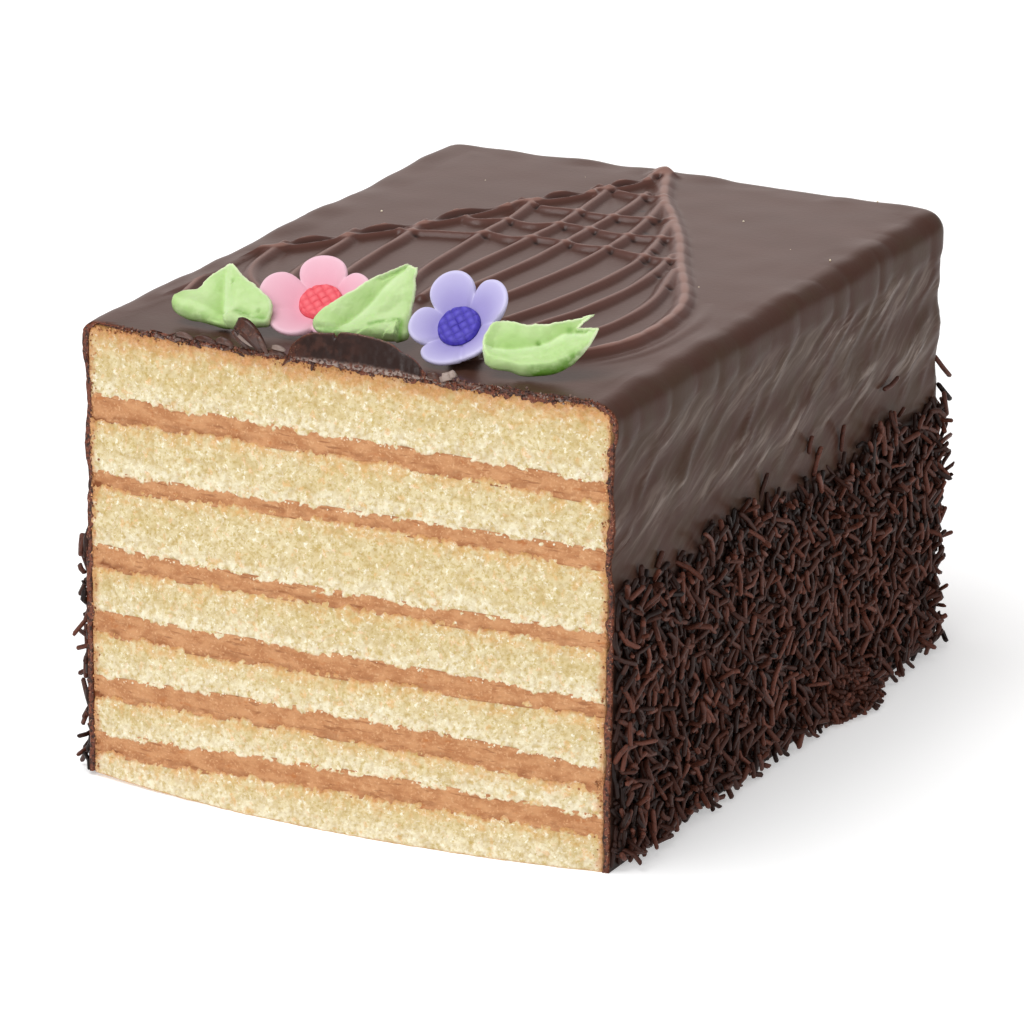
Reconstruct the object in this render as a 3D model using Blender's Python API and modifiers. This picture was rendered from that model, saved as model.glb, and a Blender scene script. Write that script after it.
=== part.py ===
"""Seven layer cake: a cut loaf of seven sponges and six fillings under a dark glaze with sprinkles,
piped strands, sugar flowers and leaves. Metres, +Z up, the cut face towards -Y, the table at z = 0."""

import math
import random

import bmesh
import bpy
from mathutils import Matrix, Vector

# The cake as a plain box, over the glaze
WIDTH = 0.120
DEPTH = 0.160
HEIGHT = 0.098
GAP = 0.0003  # between neighbouring pieces

# How the soft box has settled
FRONT_BULGE_TOP = 0.002
FRONT_BULGE_BOTTOM = 0.006
BACK_BULGE = 0.0015
RIGHT_LEAN = 0.001  # how much narrower the right side is at the table
LEFT_CORNER_LIFT = 0.0009  # of the front left foot

# Glaze shell: wall thickness and the radii of its edges
GLAZE_SIDE = 0.0015
GLAZE_TOP = 0.0018
LEFT_TOP_RADIUS = 0.0030
RIGHT_TOP_RADIUS = 0.0045
BACK_TOP_RADIUS = 0.0045
BACK_CORNER_RADIUS = 0.0050
EDGE_SEGMENTS = 3
RIPPLE = 0.0006  # depth of the level ripples above the sprinkles
RIPPLE_FADE = 0.020  # they start so far behind the cut face

# Each filling: height of its middle, then thickness, at the left, middle and right of the cut face
FILLINGS = (
    ((0.0798, 0.0809, 0.0792), (0.0046, 0.0031, 0.0035)),
    ((0.0641, 0.0665, 0.0654), (0.0028, 0.0019, 0.0031)),
    ((0.0476, 0.0493, 0.0486), (0.0041, 0.0021, 0.0027)),
    ((0.0331, 0.0353, 0.0346), (0.0039, 0.0037, 0.0021)),
    ((0.0188, 0.0226, 0.0192), (0.0035, 0.0040, 0.0040)),
    ((0.0064, 0.0110, 0.0095), (0.0035, 0.0040, 0.0031)),
)
LAYER_WAVE = 0.0006  # how far a layer wanders up and down towards the back
LAYER_CELLS = (6, 3)  # across and along

# Sprinkle coat on the left, the back and the right
COAT_TOP = 0.0559
COAT_TOP_LEAN = 0.0030  # the right is so much higher, the left lower
COAT_TOP_FALL = 0.02  # towards the back, per metre
COAT_TOP_WANDER = 0.0016
COAT_TOP_WAVE = 0.072
COAT_TOP_CREST = -0.017  # where one wave is highest on the right
COAT_STEP = 0.0012
COAT_THICKNESS = 0.0011
CLUMP_OUT = 0.0050  # the clump that sticks out at the foot of the right side
CLUMP_Y = 0.036
CLUMP_LENGTH = 0.010
CLUMP_HEIGHT = 0.007
SPRINKLE_RADIUS = 0.00065
SPRINKLE_LENGTHS = (0.0082, 0.0052)  # longest and shortest
SPRINKLE_SIDES = 6
SPRINKLE_COLUMNS = 39
SPRINKLE_ROWS = 6
SPRINKLE_LOWEST = 0.0045
SPRINKLE_TILT = 22.0  # degrees out of the wall at most
SPRINKLE_SEED = 7

# Piped strands on the top: a teardrop net, (x, y) along its two outlines from tip to front
LEFT_OUTLINE = (
    (-0.0069, 0.0740), (-0.0136, 0.0560), (-0.0247, 0.0376), (-0.0325, 0.0215),
    (-0.0414, 0.0049), (-0.0514, -0.0151), (-0.0550, -0.0300), (-0.0535, -0.0470),
)
RIGHT_OUTLINE = (
    (-0.0069, 0.0740), (0.0031, 0.0549), (0.0097, 0.0438), (0.0197, 0.0260),
    (0.0275, 0.0082), (0.0355, -0.0050), (0.0430, -0.0180), (0.0455, -0.0340), (0.0400, -0.0500),
)
LONG_STRANDS = (-0.0497, -0.0403, -0.0303, -0.0169, -0.0081, -0.0014, 0.0086, 0.0186, 0.0264, 0.0342)
LONG_STRAND_LEANS = (0.0035, 0.0010)  # how far the left and the right ones lean to the left
LONG_STRAND_FRONT = -0.058
LONG_STRAND_WAIST = -0.012  # from here on they draw together towards the front
LONG_STRAND_NARROWING = 0.16
CROSS_STRANDS = ((0.0560, 0.0560), (0.0376, 0.0385), (0.0215, 0.0265), (0.0049, 0.0165))  # y at left, right
STRAND_RADIUS = 0.00115
STRAND_RISE = 0.0002  # height of a strand's axis over the glaze
OUTLINE_RADIUS = 0.00130
TIP_BLOB = (0.0030, 0.0055, 0.0017)  # half sizes of the blob where the strands start

# Curled lip of glaze along the cut edge
LIP_LEFT, LIP_RIGHT = -0.0125, 0.0190
LIP_HEIGHT = 0.0056
LIP_THICKNESS = 0.0016
LIP_LEAN = 0.0015

# Sugar flowers and piped leaves lean back on the top: each has a turn, the degrees that it faces to
# the right, and a tilt, its degrees from level
FLOWER_RADIUS = 0.0110
FLOWER_THICKNESS = 0.0015
BUTTON_RADIUS = 0.00455
BUTTON_HEIGHT = 0.0012
PETAL_ROUNDNESS = 0.45
PETAL_SPOKES = 8  # from one petal's middle to the next one's
FLOWERS = (
    # name, middle, turn, tilt, how far its rim is cupped, and for each petal its direction in
    # degrees, its length and the radius of the notch after it
    ("pink", (-0.0151, -0.0622, 0.1028), 5.0, 31.0, 0.0022, (
        (27.0, 0.0107, 0.0074), (111.0, 0.0116, 0.0072), (173.0, 0.0131, 0.0106),
        (240.0, 0.0117, 0.0065), (312.0, 0.0105, 0.0065),
    )),
    ("purple", (0.0191, -0.0670, 0.1040), -2.0, 42.0, 0.0028, (
        (55.0, 0.0119, 0.0070), (119.0, 0.0123, 0.0070), (194.0, 0.0100, 0.0066),
        (259.0, 0.0103, 0.0086), (336.0, 0.0098, 0.0065),
    )),
)
DAB_RADIUS = 0.0050  # the dab of glaze that holds a flower up
LEAF_BASE_THICKNESS = 0.0042
LEAF_TIP_THICKNESS = 0.0015
LEAF_FRONT_SHARE = 0.2  # of the thickness in front of the leaf's plane
LEAF_EDGE_THINNING = 0.4
LEAF_CUP = 0.0020
LEAF_CUP_START, LEAF_CUP_END = 0.15, 0.85  # of half a wave of cupping, at the base and at the tip
LEAF_CELLS_ACROSS = 4
LEAVES = (
    # name, a point of its lower edge, turn, tilt, how far its tip is split, and its left and right
    # edge from the base to the tip, from that point, in its own plane
    ("leaf_1", (-0.0298, -0.0751, 0.0988), -5.0, 42.0, 0.0, (
        (0.0, 0.0), (-0.0047, 0.0006), (-0.0112, 0.0008), (-0.0151, 0.0035), (-0.0131, 0.0071),
        (-0.0101, 0.0111), (-0.0069, 0.0152),
    ), (
        (0.0018, 0.0033), (0.0045, 0.0031), (0.0080, 0.0030), (0.0074, 0.0076), (0.0019, 0.0112),
        (-0.0017, 0.0126), (-0.0061, 0.0152),
    )),
    ("leaf_2", (0.0055, -0.0690, 0.0997), 15.0, 50.0, 0.0, (
        (-0.0147, 0.0007), (-0.0179, 0.0031), (-0.0121, 0.0090), (-0.0067, 0.0141), (-0.0004, 0.0177),
    ), (
        (0.0, 0.0), (0.0023, 0.0013), (0.0018, 0.0073), (0.0022, 0.0137), (0.0020, 0.0168),
    )),
    ("leaf_3", (0.0389, -0.0746, 0.0981), 18.0, 52.0, 0.0052, (
        (-0.0109, 0.0065), (-0.0106, 0.0090), (-0.0083, 0.0119), (-0.0027, 0.0120), (0.0009, 0.0120),
        (0.0054, 0.0131), (0.0115, 0.0145),
    ), (
        (-0.0095, 0.0015), (-0.0039, 0.0007), (0.0, 0.0), (0.0039, 0.0005), (0.0091, 0.0046),
        (0.0113, 0.0098), (0.0124, 0.0116),
    )),
)

COLOURS = {  # linear base colour and roughness
    "sponge": ((0.78, 0.66, 0.34), 0.95),
    "filling": ((0.55, 0.29, 0.13), 0.60),
    "glaze": ((0.055, 0.030, 0.024), 0.30),
    "pink_sugar": ((0.90, 0.42, 0.55), 0.55),
    "red_sugar": ((0.88, 0.11, 0.16), 0.55),
    "lilac_sugar": ((0.40, 0.32, 0.70), 0.55),
    "blue_sugar": ((0.08, 0.05, 0.48), 0.55),
    "leaf_icing": ((0.46, 0.78, 0.24), 0.55),
}


def clear_scene():
    for thing in list(bpy.data.objects):
        bpy.data.objects.remove(thing, do_unlink=True)


def make_collection(name):
    group = bpy.data.collections.new(name)
    bpy.context.scene.collection.children.link(group)
    return group


def make_materials():
    made = {}
    for name, (colour, roughness) in COLOURS.items():
        material = bpy.data.materials.new(name)
        material.use_nodes = True
        shader = material.node_tree.nodes["Principled BSDF"]
        shader.inputs["Base Color"].default_value = (*colour, 1.0)
        shader.inputs["Roughness"].default_value = roughness
        made[name] = material
    return made


def smooth_step(value):
    value = min(1.0, max(0.0, value))
    return value * value * (3.0 - 2.0 * value)


def clamp(value, low, high):
    return max(low, min(high, value))


def settle(point):
    """Moves a point of the plain box to where the soft, cut cake holds it."""
    x, y, z = point
    across = clamp(2.0 * x / WIDTH, -1.0, 1.0)
    back = clamp(y / DEPTH + 0.5, 0.0, 1.0)
    up = clamp(z / HEIGHT, 0.0, 1.0)
    crown = 1.0 - across**2
    front_bulge = FRONT_BULGE_TOP * up + FRONT_BULGE_BOTTOM * (1.0 - up)
    return Vector((
        x - RIGHT_LEAN * (1.0 - up) * (across + 1.0) / 2.0,
        y - front_bulge * crown * (1.0 - back) ** 2 + BACK_BULGE * crown * back**2,
        z + LEFT_CORNER_LIFT * max(0.0, -across) ** 3 * (1.0 - back) ** 4 * (1.0 - up),
    ))


def add_object(name, mesh, group, material=None):
    thing = bpy.data.objects.new(name, mesh)
    group.objects.link(thing)
    if material:
        mesh.materials.clear()
        mesh.materials.append(material)
    return thing


def object_from_bmesh(name, shape, group, material=None):
    mesh = bpy.data.meshes.new(name)
    shape.to_mesh(mesh)
    shape.free()
    return add_object(name, mesh, group, material)


def apply_modifiers(thing):
    graph = bpy.context.evaluated_depsgraph_get()
    mesh = bpy.data.meshes.new_from_object(thing.evaluated_get(graph), depsgraph=graph)
    thing.modifiers.clear()
    thing.data = mesh


def even_cuts(low, high, cells):
    return [low + (high - low) * step / cells for step in range(1, cells)]


def box_shape(low, high):
    """A plain box between two corners."""
    shape = bmesh.new()
    middle = (Vector(low) + Vector(high)) / 2.0
    size = Vector(high) - Vector(low)
    bmesh.ops.create_cube(shape, size=1.0, matrix=Matrix.Translation(middle) @ Matrix.Diagonal((*size, 1.0)))
    return shape


def rounded_block(name, low, high, radii, cuts, place, group, material=None):
    """A box with some edges rounded, cut into cells along each axis, every corner then moved by
    place. radii are those of the left top, right top, back top and upright back edges."""
    left_top, right_top, back_top, back_corner = radii
    shape = box_shape(low, high)
    middle = (Vector(low) + Vector(high)) / 2.0
    size = Vector(high) - Vector(low)
    widest = max(radii)
    weight = shape.edges.layers.float.new("bevel_weight_edge")
    for edge in shape.edges:
        place_of = (edge.verts[0].co + edge.verts[1].co) / 2.0 - middle
        side, back, top = (round(2.0 * place_of[axis] / size[axis]) for axis in range(3))
        if top == 1 and side == -1:
            edge[weight] = left_top / widest
        elif top == 1 and side == 1:
            edge[weight] = right_top / widest
        elif top == 1 and back == 1:
            edge[weight] = back_top / widest
        elif top == 0 and back == 1:
            edge[weight] = back_corner / widest
    block = object_from_bmesh(name, shape, group, material)
    bevel = block.modifiers.new("rounded edges", "BEVEL")
    bevel.limit_method = "WEIGHT"
    bevel.width = widest
    bevel.segments = EDGE_SEGMENTS
    apply_modifiers(block)
    shape = bmesh.new()
    shape.from_mesh(block.data)
    cut_and_place(shape, cuts, place)
    shape.to_mesh(block.data)
    shape.free()
    return block


def plain_block(name, low, high, cuts, place, group, material=None):
    """A box cut into cells along each axis, every corner then moved by place."""
    shape = box_shape(low, high)
    cut_and_place(shape, cuts, place)
    return object_from_bmesh(name, shape, group, material)


def cut_and_place(shape, cuts, place):
    """Cuts a shape at these places along each axis, moves every corner by place and splits the
    faces into triangles."""
    for axis in range(3):
        for where in cuts[axis]:
            point = Vector((0.0, 0.0, 0.0))
            point[axis] = where
            normal = Vector((0.0, 0.0, 0.0))
            normal[axis] = 1.0
            parts = shape.verts[:] + shape.edges[:] + shape.faces[:]
            bmesh.ops.bisect_plane(shape, geom=parts, dist=1e-6, plane_co=point, plane_no=normal)
    for corner in shape.verts:
        corner.co = place(corner.co)
    bmesh.ops.triangulate(shape, faces=shape.faces[:], quad_method="FIXED", ngon_method="BEAUTY")


# Layers


def through_three(values, across):
    """A value that runs smoothly through its left, middle and right ones."""
    left, middle, right = values
    return middle + (right - left) / 2.0 * across + ((left + right) / 2.0 - middle) * across**2


def filling_faces(number, x, y):
    """Heights of the under and upper face of a filling, counted from the top."""
    heights, thicknesses = FILLINGS[number]
    across = clamp(2.0 * x / WIDTH, -1.0, 1.0)
    back = clamp(y / DEPTH + 0.5, 0.0, 1.0)
    wave = LAYER_WAVE * math.sin(5.0 * back + 2.0 * number + 2.0 * across) - LAYER_WAVE * math.sin(
        2.0 * number + 2.0 * across
    )
    middle = through_three(heights, across) + wave
    half = through_three(thicknesses, across) / 2.0
    return middle - half, middle + half


def layer(name, under, upper, rounded_top, group, material):
    """A slab through the whole cake between two faces, each a function of x and y."""
    inset = GLAZE_SIDE + GAP
    low_z, high_z = under(0.0, 0.0), upper(0.0, 0.0)
    low = (-WIDTH / 2 + inset, -DEPTH / 2, low_z)
    high = (WIDTH / 2 - inset, DEPTH / 2 - inset, high_z)
    corner = BACK_CORNER_RADIUS - inset
    radii = (
        (LEFT_TOP_RADIUS - inset, RIGHT_TOP_RADIUS - inset, BACK_TOP_RADIUS - inset, corner)
        if rounded_top
        else (0.0, 0.0, 0.0, corner)
    )

    def place(point):
        share = (point.z - low_z) / (high_z - low_z)
        height = (1.0 - share) * under(point.x, point.y) + share * upper(point.x, point.y)
        return settle((point.x, point.y, height))

    cells_across, cells_along = LAYER_CELLS
    cuts = (
        even_cuts(low[0], high[0], cells_across),
        even_cuts(low[1], high[1], cells_along),
        (),
    )
    return rounded_block(name, low, high, radii, cuts, place, group, material)


def level_face(height):
    return lambda x, y: height


def filling_face(number, face, gap=0.0):
    """The under (0) or upper (1) face of a filling as a function of x and y, raised by gap."""
    return lambda x, y: filling_faces(number, x, y)[face] + gap


def make_layers(group, materials):
    count = len(FILLINGS)
    for number in range(count):
        under, upper = filling_face(number, 0), filling_face(number, 1)
        layer(f"filling_{number + 1}", under, upper, False, group, materials["filling"])
    for number in range(count + 1):
        upper = filling_face(number - 1, 0, -GAP) if number > 0 else level_face(HEIGHT - GLAZE_TOP - GAP)
        under = filling_face(number, 1, GAP) if number < count else level_face(0.0)
        layer(f"sponge_{number + 1}", under, upper, number == 0, group, materials["sponge"])


# Glaze shell


def outward(x, y):
    """Direction straight out of the wall at a point on the left, the back or the right."""
    inner_x = clamp(x, -WIDTH / 2 + BACK_CORNER_RADIUS, WIDTH / 2 - BACK_CORNER_RADIUS)
    inner_y = min(y, DEPTH / 2 - BACK_CORNER_RADIUS)
    way = Vector((x - inner_x, y - inner_y, 0.0))
    return way.normalized() if way.length > 1e-5 else way


def coat_edge(x, y):
    """Height at which the sprinkles end."""
    side = clamp(2.0 * x / WIDTH, -1.0, 1.0)
    turn = 2.0 * math.pi * (y - COAT_TOP_CREST) / COAT_TOP_WAVE + 1.2 * (1.0 - side)
    return COAT_TOP + COAT_TOP_LEAN * side - COAT_TOP_FALL * y + COAT_TOP_WANDER * math.cos(turn)


def coat_thickness(x, y, z):
    """How far the packed sprinkles stand out from the plain wall."""
    full = COAT_THICKNESS * smooth_step((coat_edge(x, y) - z) / COAT_STEP + 0.5)
    if x < 0.0:
        return full
    clump = math.exp(-(((y - CLUMP_Y) / CLUMP_LENGTH) ** 2) - (z / CLUMP_HEIGHT) ** 2)
    return full + CLUMP_OUT * clump


def make_glaze_block(group, material):
    """The glaze as a solid block, before the cake inside is taken out of it."""
    low = (-WIDTH / 2, -DEPTH / 2, 0.0)
    high = (WIDTH / 2, DEPTH / 2, HEIGHT)
    radii = (LEFT_TOP_RADIUS, RIGHT_TOP_RADIUS, BACK_TOP_RADIUS, BACK_CORNER_RADIUS)
    edge_rows = (COAT_TOP - COAT_STEP / 2, COAT_TOP + COAT_STEP / 2)
    ripple_rows = even_cuts(COAT_TOP + 0.004, HEIGHT - RIGHT_TOP_RADIUS, 5)
    cuts = (
        even_cuts(low[0], high[0], 8),
        even_cuts(low[1], high[1], 8),
        [0.006, 0.013, 0.030, *edge_rows, *ripple_rows],
    )

    def place(point):
        x, y, z = point
        way = outward(x, y)
        near_edge = clamp(1.0 - abs(z - COAT_TOP) / 0.020, 0.0, 1.0)
        z += (coat_edge(x, y) - COAT_TOP) * near_edge
        plain_wall = smooth_step((z - COAT_TOP) / 0.006) * smooth_step((HEIGHT - z) / 0.010)
        plain_wall *= smooth_step((y + DEPTH / 2) / RIPPLE_FADE)
        ripple = RIPPLE * math.sin(z / 0.0022 + 1.5 * math.sin(30.0 * (x + y))) * plain_wall
        on_wall = 1.0 if z < HEIGHT - 1e-5 else 0.0
        moved = Vector((x, y, z)) + way * (coat_thickness(x, y, z) + ripple) * on_wall
        return settle(moved)

    return rounded_block("glaze", low, high, radii, cuts, place, group, material)


def make_cavity(group):
    """The space that the layers fill, open at the cut face and the table."""
    low = (-WIDTH / 2 + GLAZE_SIDE, -DEPTH / 2 - 0.012, -0.004)
    high = (WIDTH / 2 - GLAZE_SIDE, DEPTH / 2 - GLAZE_SIDE, HEIGHT - GLAZE_TOP)
    radii = tuple(
        radius - GLAZE_SIDE
        for radius in (LEFT_TOP_RADIUS, RIGHT_TOP_RADIUS, BACK_TOP_RADIUS, BACK_CORNER_RADIUS)
    )
    cells_across, cells_along = LAYER_CELLS
    cuts = (
        even_cuts(low[0], high[0], cells_across),
        even_cuts(-DEPTH / 2, high[1], cells_along),
        (),
    )
    cavity = rounded_block("cavity", low, high, radii, cuts, settle, group)
    cavity.hide_render = True
    cavity.display_type = "WIRE"
    return cavity


# Sprinkles


def wall_point(distance):
    """A point of the walls' plan, so far along from the left front, round the back, to the right."""
    radius = BACK_CORNER_RADIUS
    side = DEPTH - radius
    bend = math.pi / 2 * radius
    back = WIDTH - 2 * radius
    if distance < side:
        return -WIDTH / 2, -DEPTH / 2 + distance
    distance -= side
    if distance < bend:
        angle = math.pi - distance / radius
        return -WIDTH / 2 + radius + radius * math.cos(angle), DEPTH / 2 - radius + radius * math.sin(angle)
    distance -= bend
    if distance < back:
        return -WIDTH / 2 + radius + distance, DEPTH / 2
    distance -= back
    if distance < bend:
        angle = math.pi / 2 - distance / radius
        return WIDTH / 2 - radius + radius * math.cos(angle), DEPTH / 2 - radius + radius * math.sin(angle)
    return WIDTH / 2, DEPTH / 2 - radius - (distance - bend)


def wall_length():
    return 2 * (DEPTH - BACK_CORNER_RADIUS) + math.pi * BACK_CORNER_RADIUS + WIDTH - 2 * BACK_CORNER_RADIUS


def make_sprinkles(group):
    """Sprinkles half sunk in the coat, evenly spread, the longest where the first draws fall."""
    draw = random.Random(SPRINKLE_SEED)
    total = wall_length()
    places = [(column, row) for column in range(SPRINKLE_COLUMNS) for row in range(SPRINKLE_ROWS)]
    draw.shuffle(places)
    longest, shortest = SPRINKLE_LENGTHS
    for number, (column, row) in enumerate(places):
        length = longest + (shortest - longest) * number / len(places)
        along = (column + 0.5 + draw.uniform(-0.35, 0.35)) / SPRINKLE_COLUMNS
        x, y = wall_point(clamp(along * total, 0.004, total - 0.004))
        highest = coat_edge(x, y) - 0.001
        share = (row + 0.5 + draw.uniform(-0.4, 0.4)) / SPRINKLE_ROWS
        z = SPRINKLE_LOWEST + share * (highest - SPRINKLE_LOWEST)
        out = outward(x, y)
        level = out.cross(Vector((0.0, 0.0, 1.0)))
        spin = draw.uniform(0.0, math.pi)
        tilt = math.radians(draw.uniform(-SPRINKLE_TILT, SPRINKLE_TILT))
        way = (level * math.cos(spin) + Vector((0.0, 0.0, 1.0)) * math.sin(spin)) * math.cos(tilt)
        way += out * math.sin(tilt)
        middle = Vector((x, y, z)) + out * (coat_thickness(x, y, z) + 0.25 * SPRINKLE_RADIUS)
        reach = abs(way.z) * length / 2 + SPRINKLE_RADIUS
        middle.z = max(middle.z, reach + GAP)
        turned = way.to_track_quat("Z", "Y").to_matrix().to_4x4()
        shape = bmesh.new()
        bmesh.ops.create_cone(
            shape,
            cap_ends=True,
            segments=SPRINKLE_SIDES,
            radius1=SPRINKLE_RADIUS,
            radius2=SPRINKLE_RADIUS,
            depth=length,
            matrix=Matrix.Translation(settle(middle)) @ turned,
        )
        object_from_bmesh(f"sprinkle_{number}", shape, group)


# Piped strands, lip and dabs on the top


def through_points(points, steps):
    """A smooth run through the points, with so many steps between each two."""
    knots = [Vector(point) for point in points]
    knots = [2 * knots[0] - knots[1], *knots, 2 * knots[-1] - knots[-2]]
    run = []
    for before, start, end, after in zip(knots, knots[1:], knots[2:], knots[3:]):
        for step in range(steps):
            t = step / steps
            run.append(0.5 * (
                2 * start
                + (end - before) * t
                + (2 * before - 5 * start + 4 * end - after) * t**2
                + (3 * start - before - 3 * end + after) * t**3
            ))
    run.append(knots[-2])
    return run


def outline_x(outline, y):
    """Where an outline is across the cake, at a place along it."""
    for (x_back, y_back), (x_front, y_front) in zip(outline, outline[1:]):
        if y_back >= y >= y_front:
            return x_back + (x_front - x_back) * (y_back - y) / (y_back - y_front)
    return outline[0][0]


def outline_y(outline, x):
    """Where an outline is along the cake, at a place across it."""
    for (x_back, y_back), (x_front, y_front) in zip(outline, outline[1:]):
        if min(x_back, x_front) <= x <= max(x_back, x_front):
            return y_back + (y_front - y_back) * (x - x_back) / (x_front - x_back)
    return outline[-1][1]


def long_strand(x):
    """One strand from the front to where it meets the outline."""
    outline = LEFT_OUTLINE if x < LEFT_OUTLINE[0][0] else RIGHT_OUTLINE
    lean = LONG_STRAND_LEANS[0 if x < 0.0 else 1]
    end = outline_y(outline, x - lean)
    y_places = [LONG_STRAND_FRONT, -0.042, -0.027, LONG_STRAND_WAIST]
    y_places = [y for y in y_places if y < end - 0.004]
    route = []
    for y in y_places:
        drawn_in = (LONG_STRAND_WAIST - y) / (LONG_STRAND_WAIST - LONG_STRAND_FRONT)
        route.append((x * (1.0 - LONG_STRAND_NARROWING * drawn_in**2), y))
    last = y_places[-1]
    route.append((x - 0.2 * lean, last + 0.55 * (end - last)))
    route.append((x - lean, end))
    return route


def cross_strand(left_y, right_y):
    """One strand across, from outline to outline, rising to the right and then level."""
    left, right = outline_x(LEFT_OUTLINE, left_y), outline_x(RIGHT_OUTLINE, right_y)
    route = []
    for step in range(6):
        share = step / 5
        route.append((left + (right - left) * share, right_y + (left_y - right_y) * (1.0 - share) ** 2))
    return route


def strand_object(name, route, radius, group):
    """A round rope of glaze along a route, made a closed mesh."""
    curve = bpy.data.curves.new(name, "CURVE")
    curve.dimensions = "3D"
    curve.bevel_depth = radius
    curve.bevel_resolution = 1
    curve.use_fill_caps = True
    spline = curve.splines.new("POLY")
    spline.points.add(len(route) - 1)
    for knot, (x, y) in zip(spline.points, route):
        knot.co = (*settle((x, y, HEIGHT + STRAND_RISE)), 1.0)
    rope = bpy.data.objects.new(name, curve)
    group.objects.link(rope)
    graph = bpy.context.evaluated_depsgraph_get()
    mesh = bpy.data.meshes.new_from_object(rope.evaluated_get(graph), depsgraph=graph)
    bpy.data.objects.remove(rope, do_unlink=True)
    shape = bmesh.new()
    shape.from_mesh(mesh)
    bmesh.ops.remove_doubles(shape, verts=shape.verts[:], dist=1e-6)
    bmesh.ops.recalc_face_normals(shape, faces=shape.faces[:])
    return object_from_bmesh(name, shape, group)


def make_strands(group):
    for name, outline in (("left", LEFT_OUTLINE), ("right", RIGHT_OUTLINE)):
        route = [tuple(point) for point in through_points(outline, 2)]
        strand_object(f"outline_{name}", route, OUTLINE_RADIUS, group)
    for number, x in enumerate(LONG_STRANDS):
        strand_object(f"long_strand_{number}", long_strand(x), STRAND_RADIUS, group)
    for number, (left_y, right_y) in enumerate(CROSS_STRANDS):
        strand_object(f"cross_strand_{number}", cross_strand(left_y, right_y), STRAND_RADIUS, group)
    shape = bmesh.new()
    middle = settle((LEFT_OUTLINE[0][0], LEFT_OUTLINE[0][1], HEIGHT))
    stretch = Matrix.Diagonal((*TIP_BLOB, 1.0))
    bmesh.ops.create_uvsphere(
        shape, u_segments=10, v_segments=6, radius=1.0, matrix=Matrix.Translation(middle) @ stretch
    )
    object_from_bmesh("tip_blob", shape, group)


def make_lip(group):
    """The edge that the knife has curled up, highest near its left end."""
    low = (0.0, -0.5, 0.0)
    high = (1.0, 0.5, 1.0)
    root = HEIGHT - GLAZE_TOP / 2

    def place(point):
        x = LIP_LEFT + (LIP_RIGHT - LIP_LEFT) * point.x
        height = LIP_HEIGHT * math.sin(math.pi * (0.04 + 0.90 * point.x) ** 0.6) ** 0.7
        thickness = LIP_THICKNESS * (1.0 - 0.7 * point.z)
        y = -DEPTH / 2 + GAP + thickness * (point.y + 0.5) + LIP_LEAN * point.z**2
        front = settle((x, y, HEIGHT))
        return Vector((front.x, front.y, root + (height + HEIGHT - root) * point.z))

    cuts = (even_cuts(0.0, 1.0, 8), (), (0.5,))
    plain_block("lip", low, high, cuts, place, group)


def lean_frame(middle, turn, tilt):
    """Frame of a decoration that leans back: X to the right, Y up its slope, Z out of its face."""
    turned = Matrix.Translation(middle) @ Matrix.Rotation(math.radians(turn), 4, "Z")
    return turned @ Matrix.Rotation(math.radians(tilt), 4, "X")


def make_dab(name, middle, turn, tilt, group):
    """A dab of glaze from the top of the cake to just under a flower."""
    frame = lean_frame(middle, turn, tilt)
    shape = bmesh.new()
    bmesh.ops.create_cone(
        shape, cap_ends=True, segments=10, radius1=DAB_RADIUS, radius2=DAB_RADIUS, depth=2.0
    )
    for corner in shape.verts:
        x, y, end = corner.co
        if end > 0.0:
            corner.co = frame @ Vector((0.7 * x, 0.7 * y, -FLOWER_THICKNESS / 2 - GAP))
        else:
            corner.co = Vector((middle[0] + x, middle[1] + 0.8 * y + 0.002, HEIGHT - GLAZE_TOP / 2))
    object_from_bmesh(name, shape, group)


def make_glaze(group, material):
    toppings = make_collection("toppings")
    make_strands(toppings)
    make_lip(toppings)
    for name, middle, turn, tilt, _, _ in FLOWERS:
        make_dab(f"dab_{name}", middle, turn, tilt, toppings)
    make_sprinkles(toppings)
    glaze = make_glaze_block(group, material)
    union = glaze.modifiers.new("toppings", "BOOLEAN")
    union.operation = "UNION"
    union.operand_type = "COLLECTION"
    union.collection = toppings
    apply_modifiers(glaze)
    for topping in list(toppings.objects):
        bpy.data.objects.remove(topping, do_unlink=True)
    bpy.data.collections.remove(toppings)
    cutters = make_collection("cutters")
    cut = glaze.modifiers.new("cake inside", "BOOLEAN")
    cut.operation = "DIFFERENCE"
    cut.object = make_cavity(cutters)


# Flowers and leaves


def rim_point(spoke, petals):
    """Direction and radius of a flower's rim at a spoke: round petals, narrow notches between."""
    number, step = divmod(spoke % (PETAL_SPOKES * len(petals)), PETAL_SPOKES)
    start, length, notch = petals[number]
    end, next_length, _ = petals[(number + 1) % len(petals)]
    share = step / PETAL_SPOKES
    nearest = length if share < 0.5 else next_length
    lobe = abs(math.cos(math.pi * share)) ** PETAL_ROUNDNESS
    return math.radians(start + (end - start) % 360.0 * share), notch + (nearest - notch) * lobe


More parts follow.
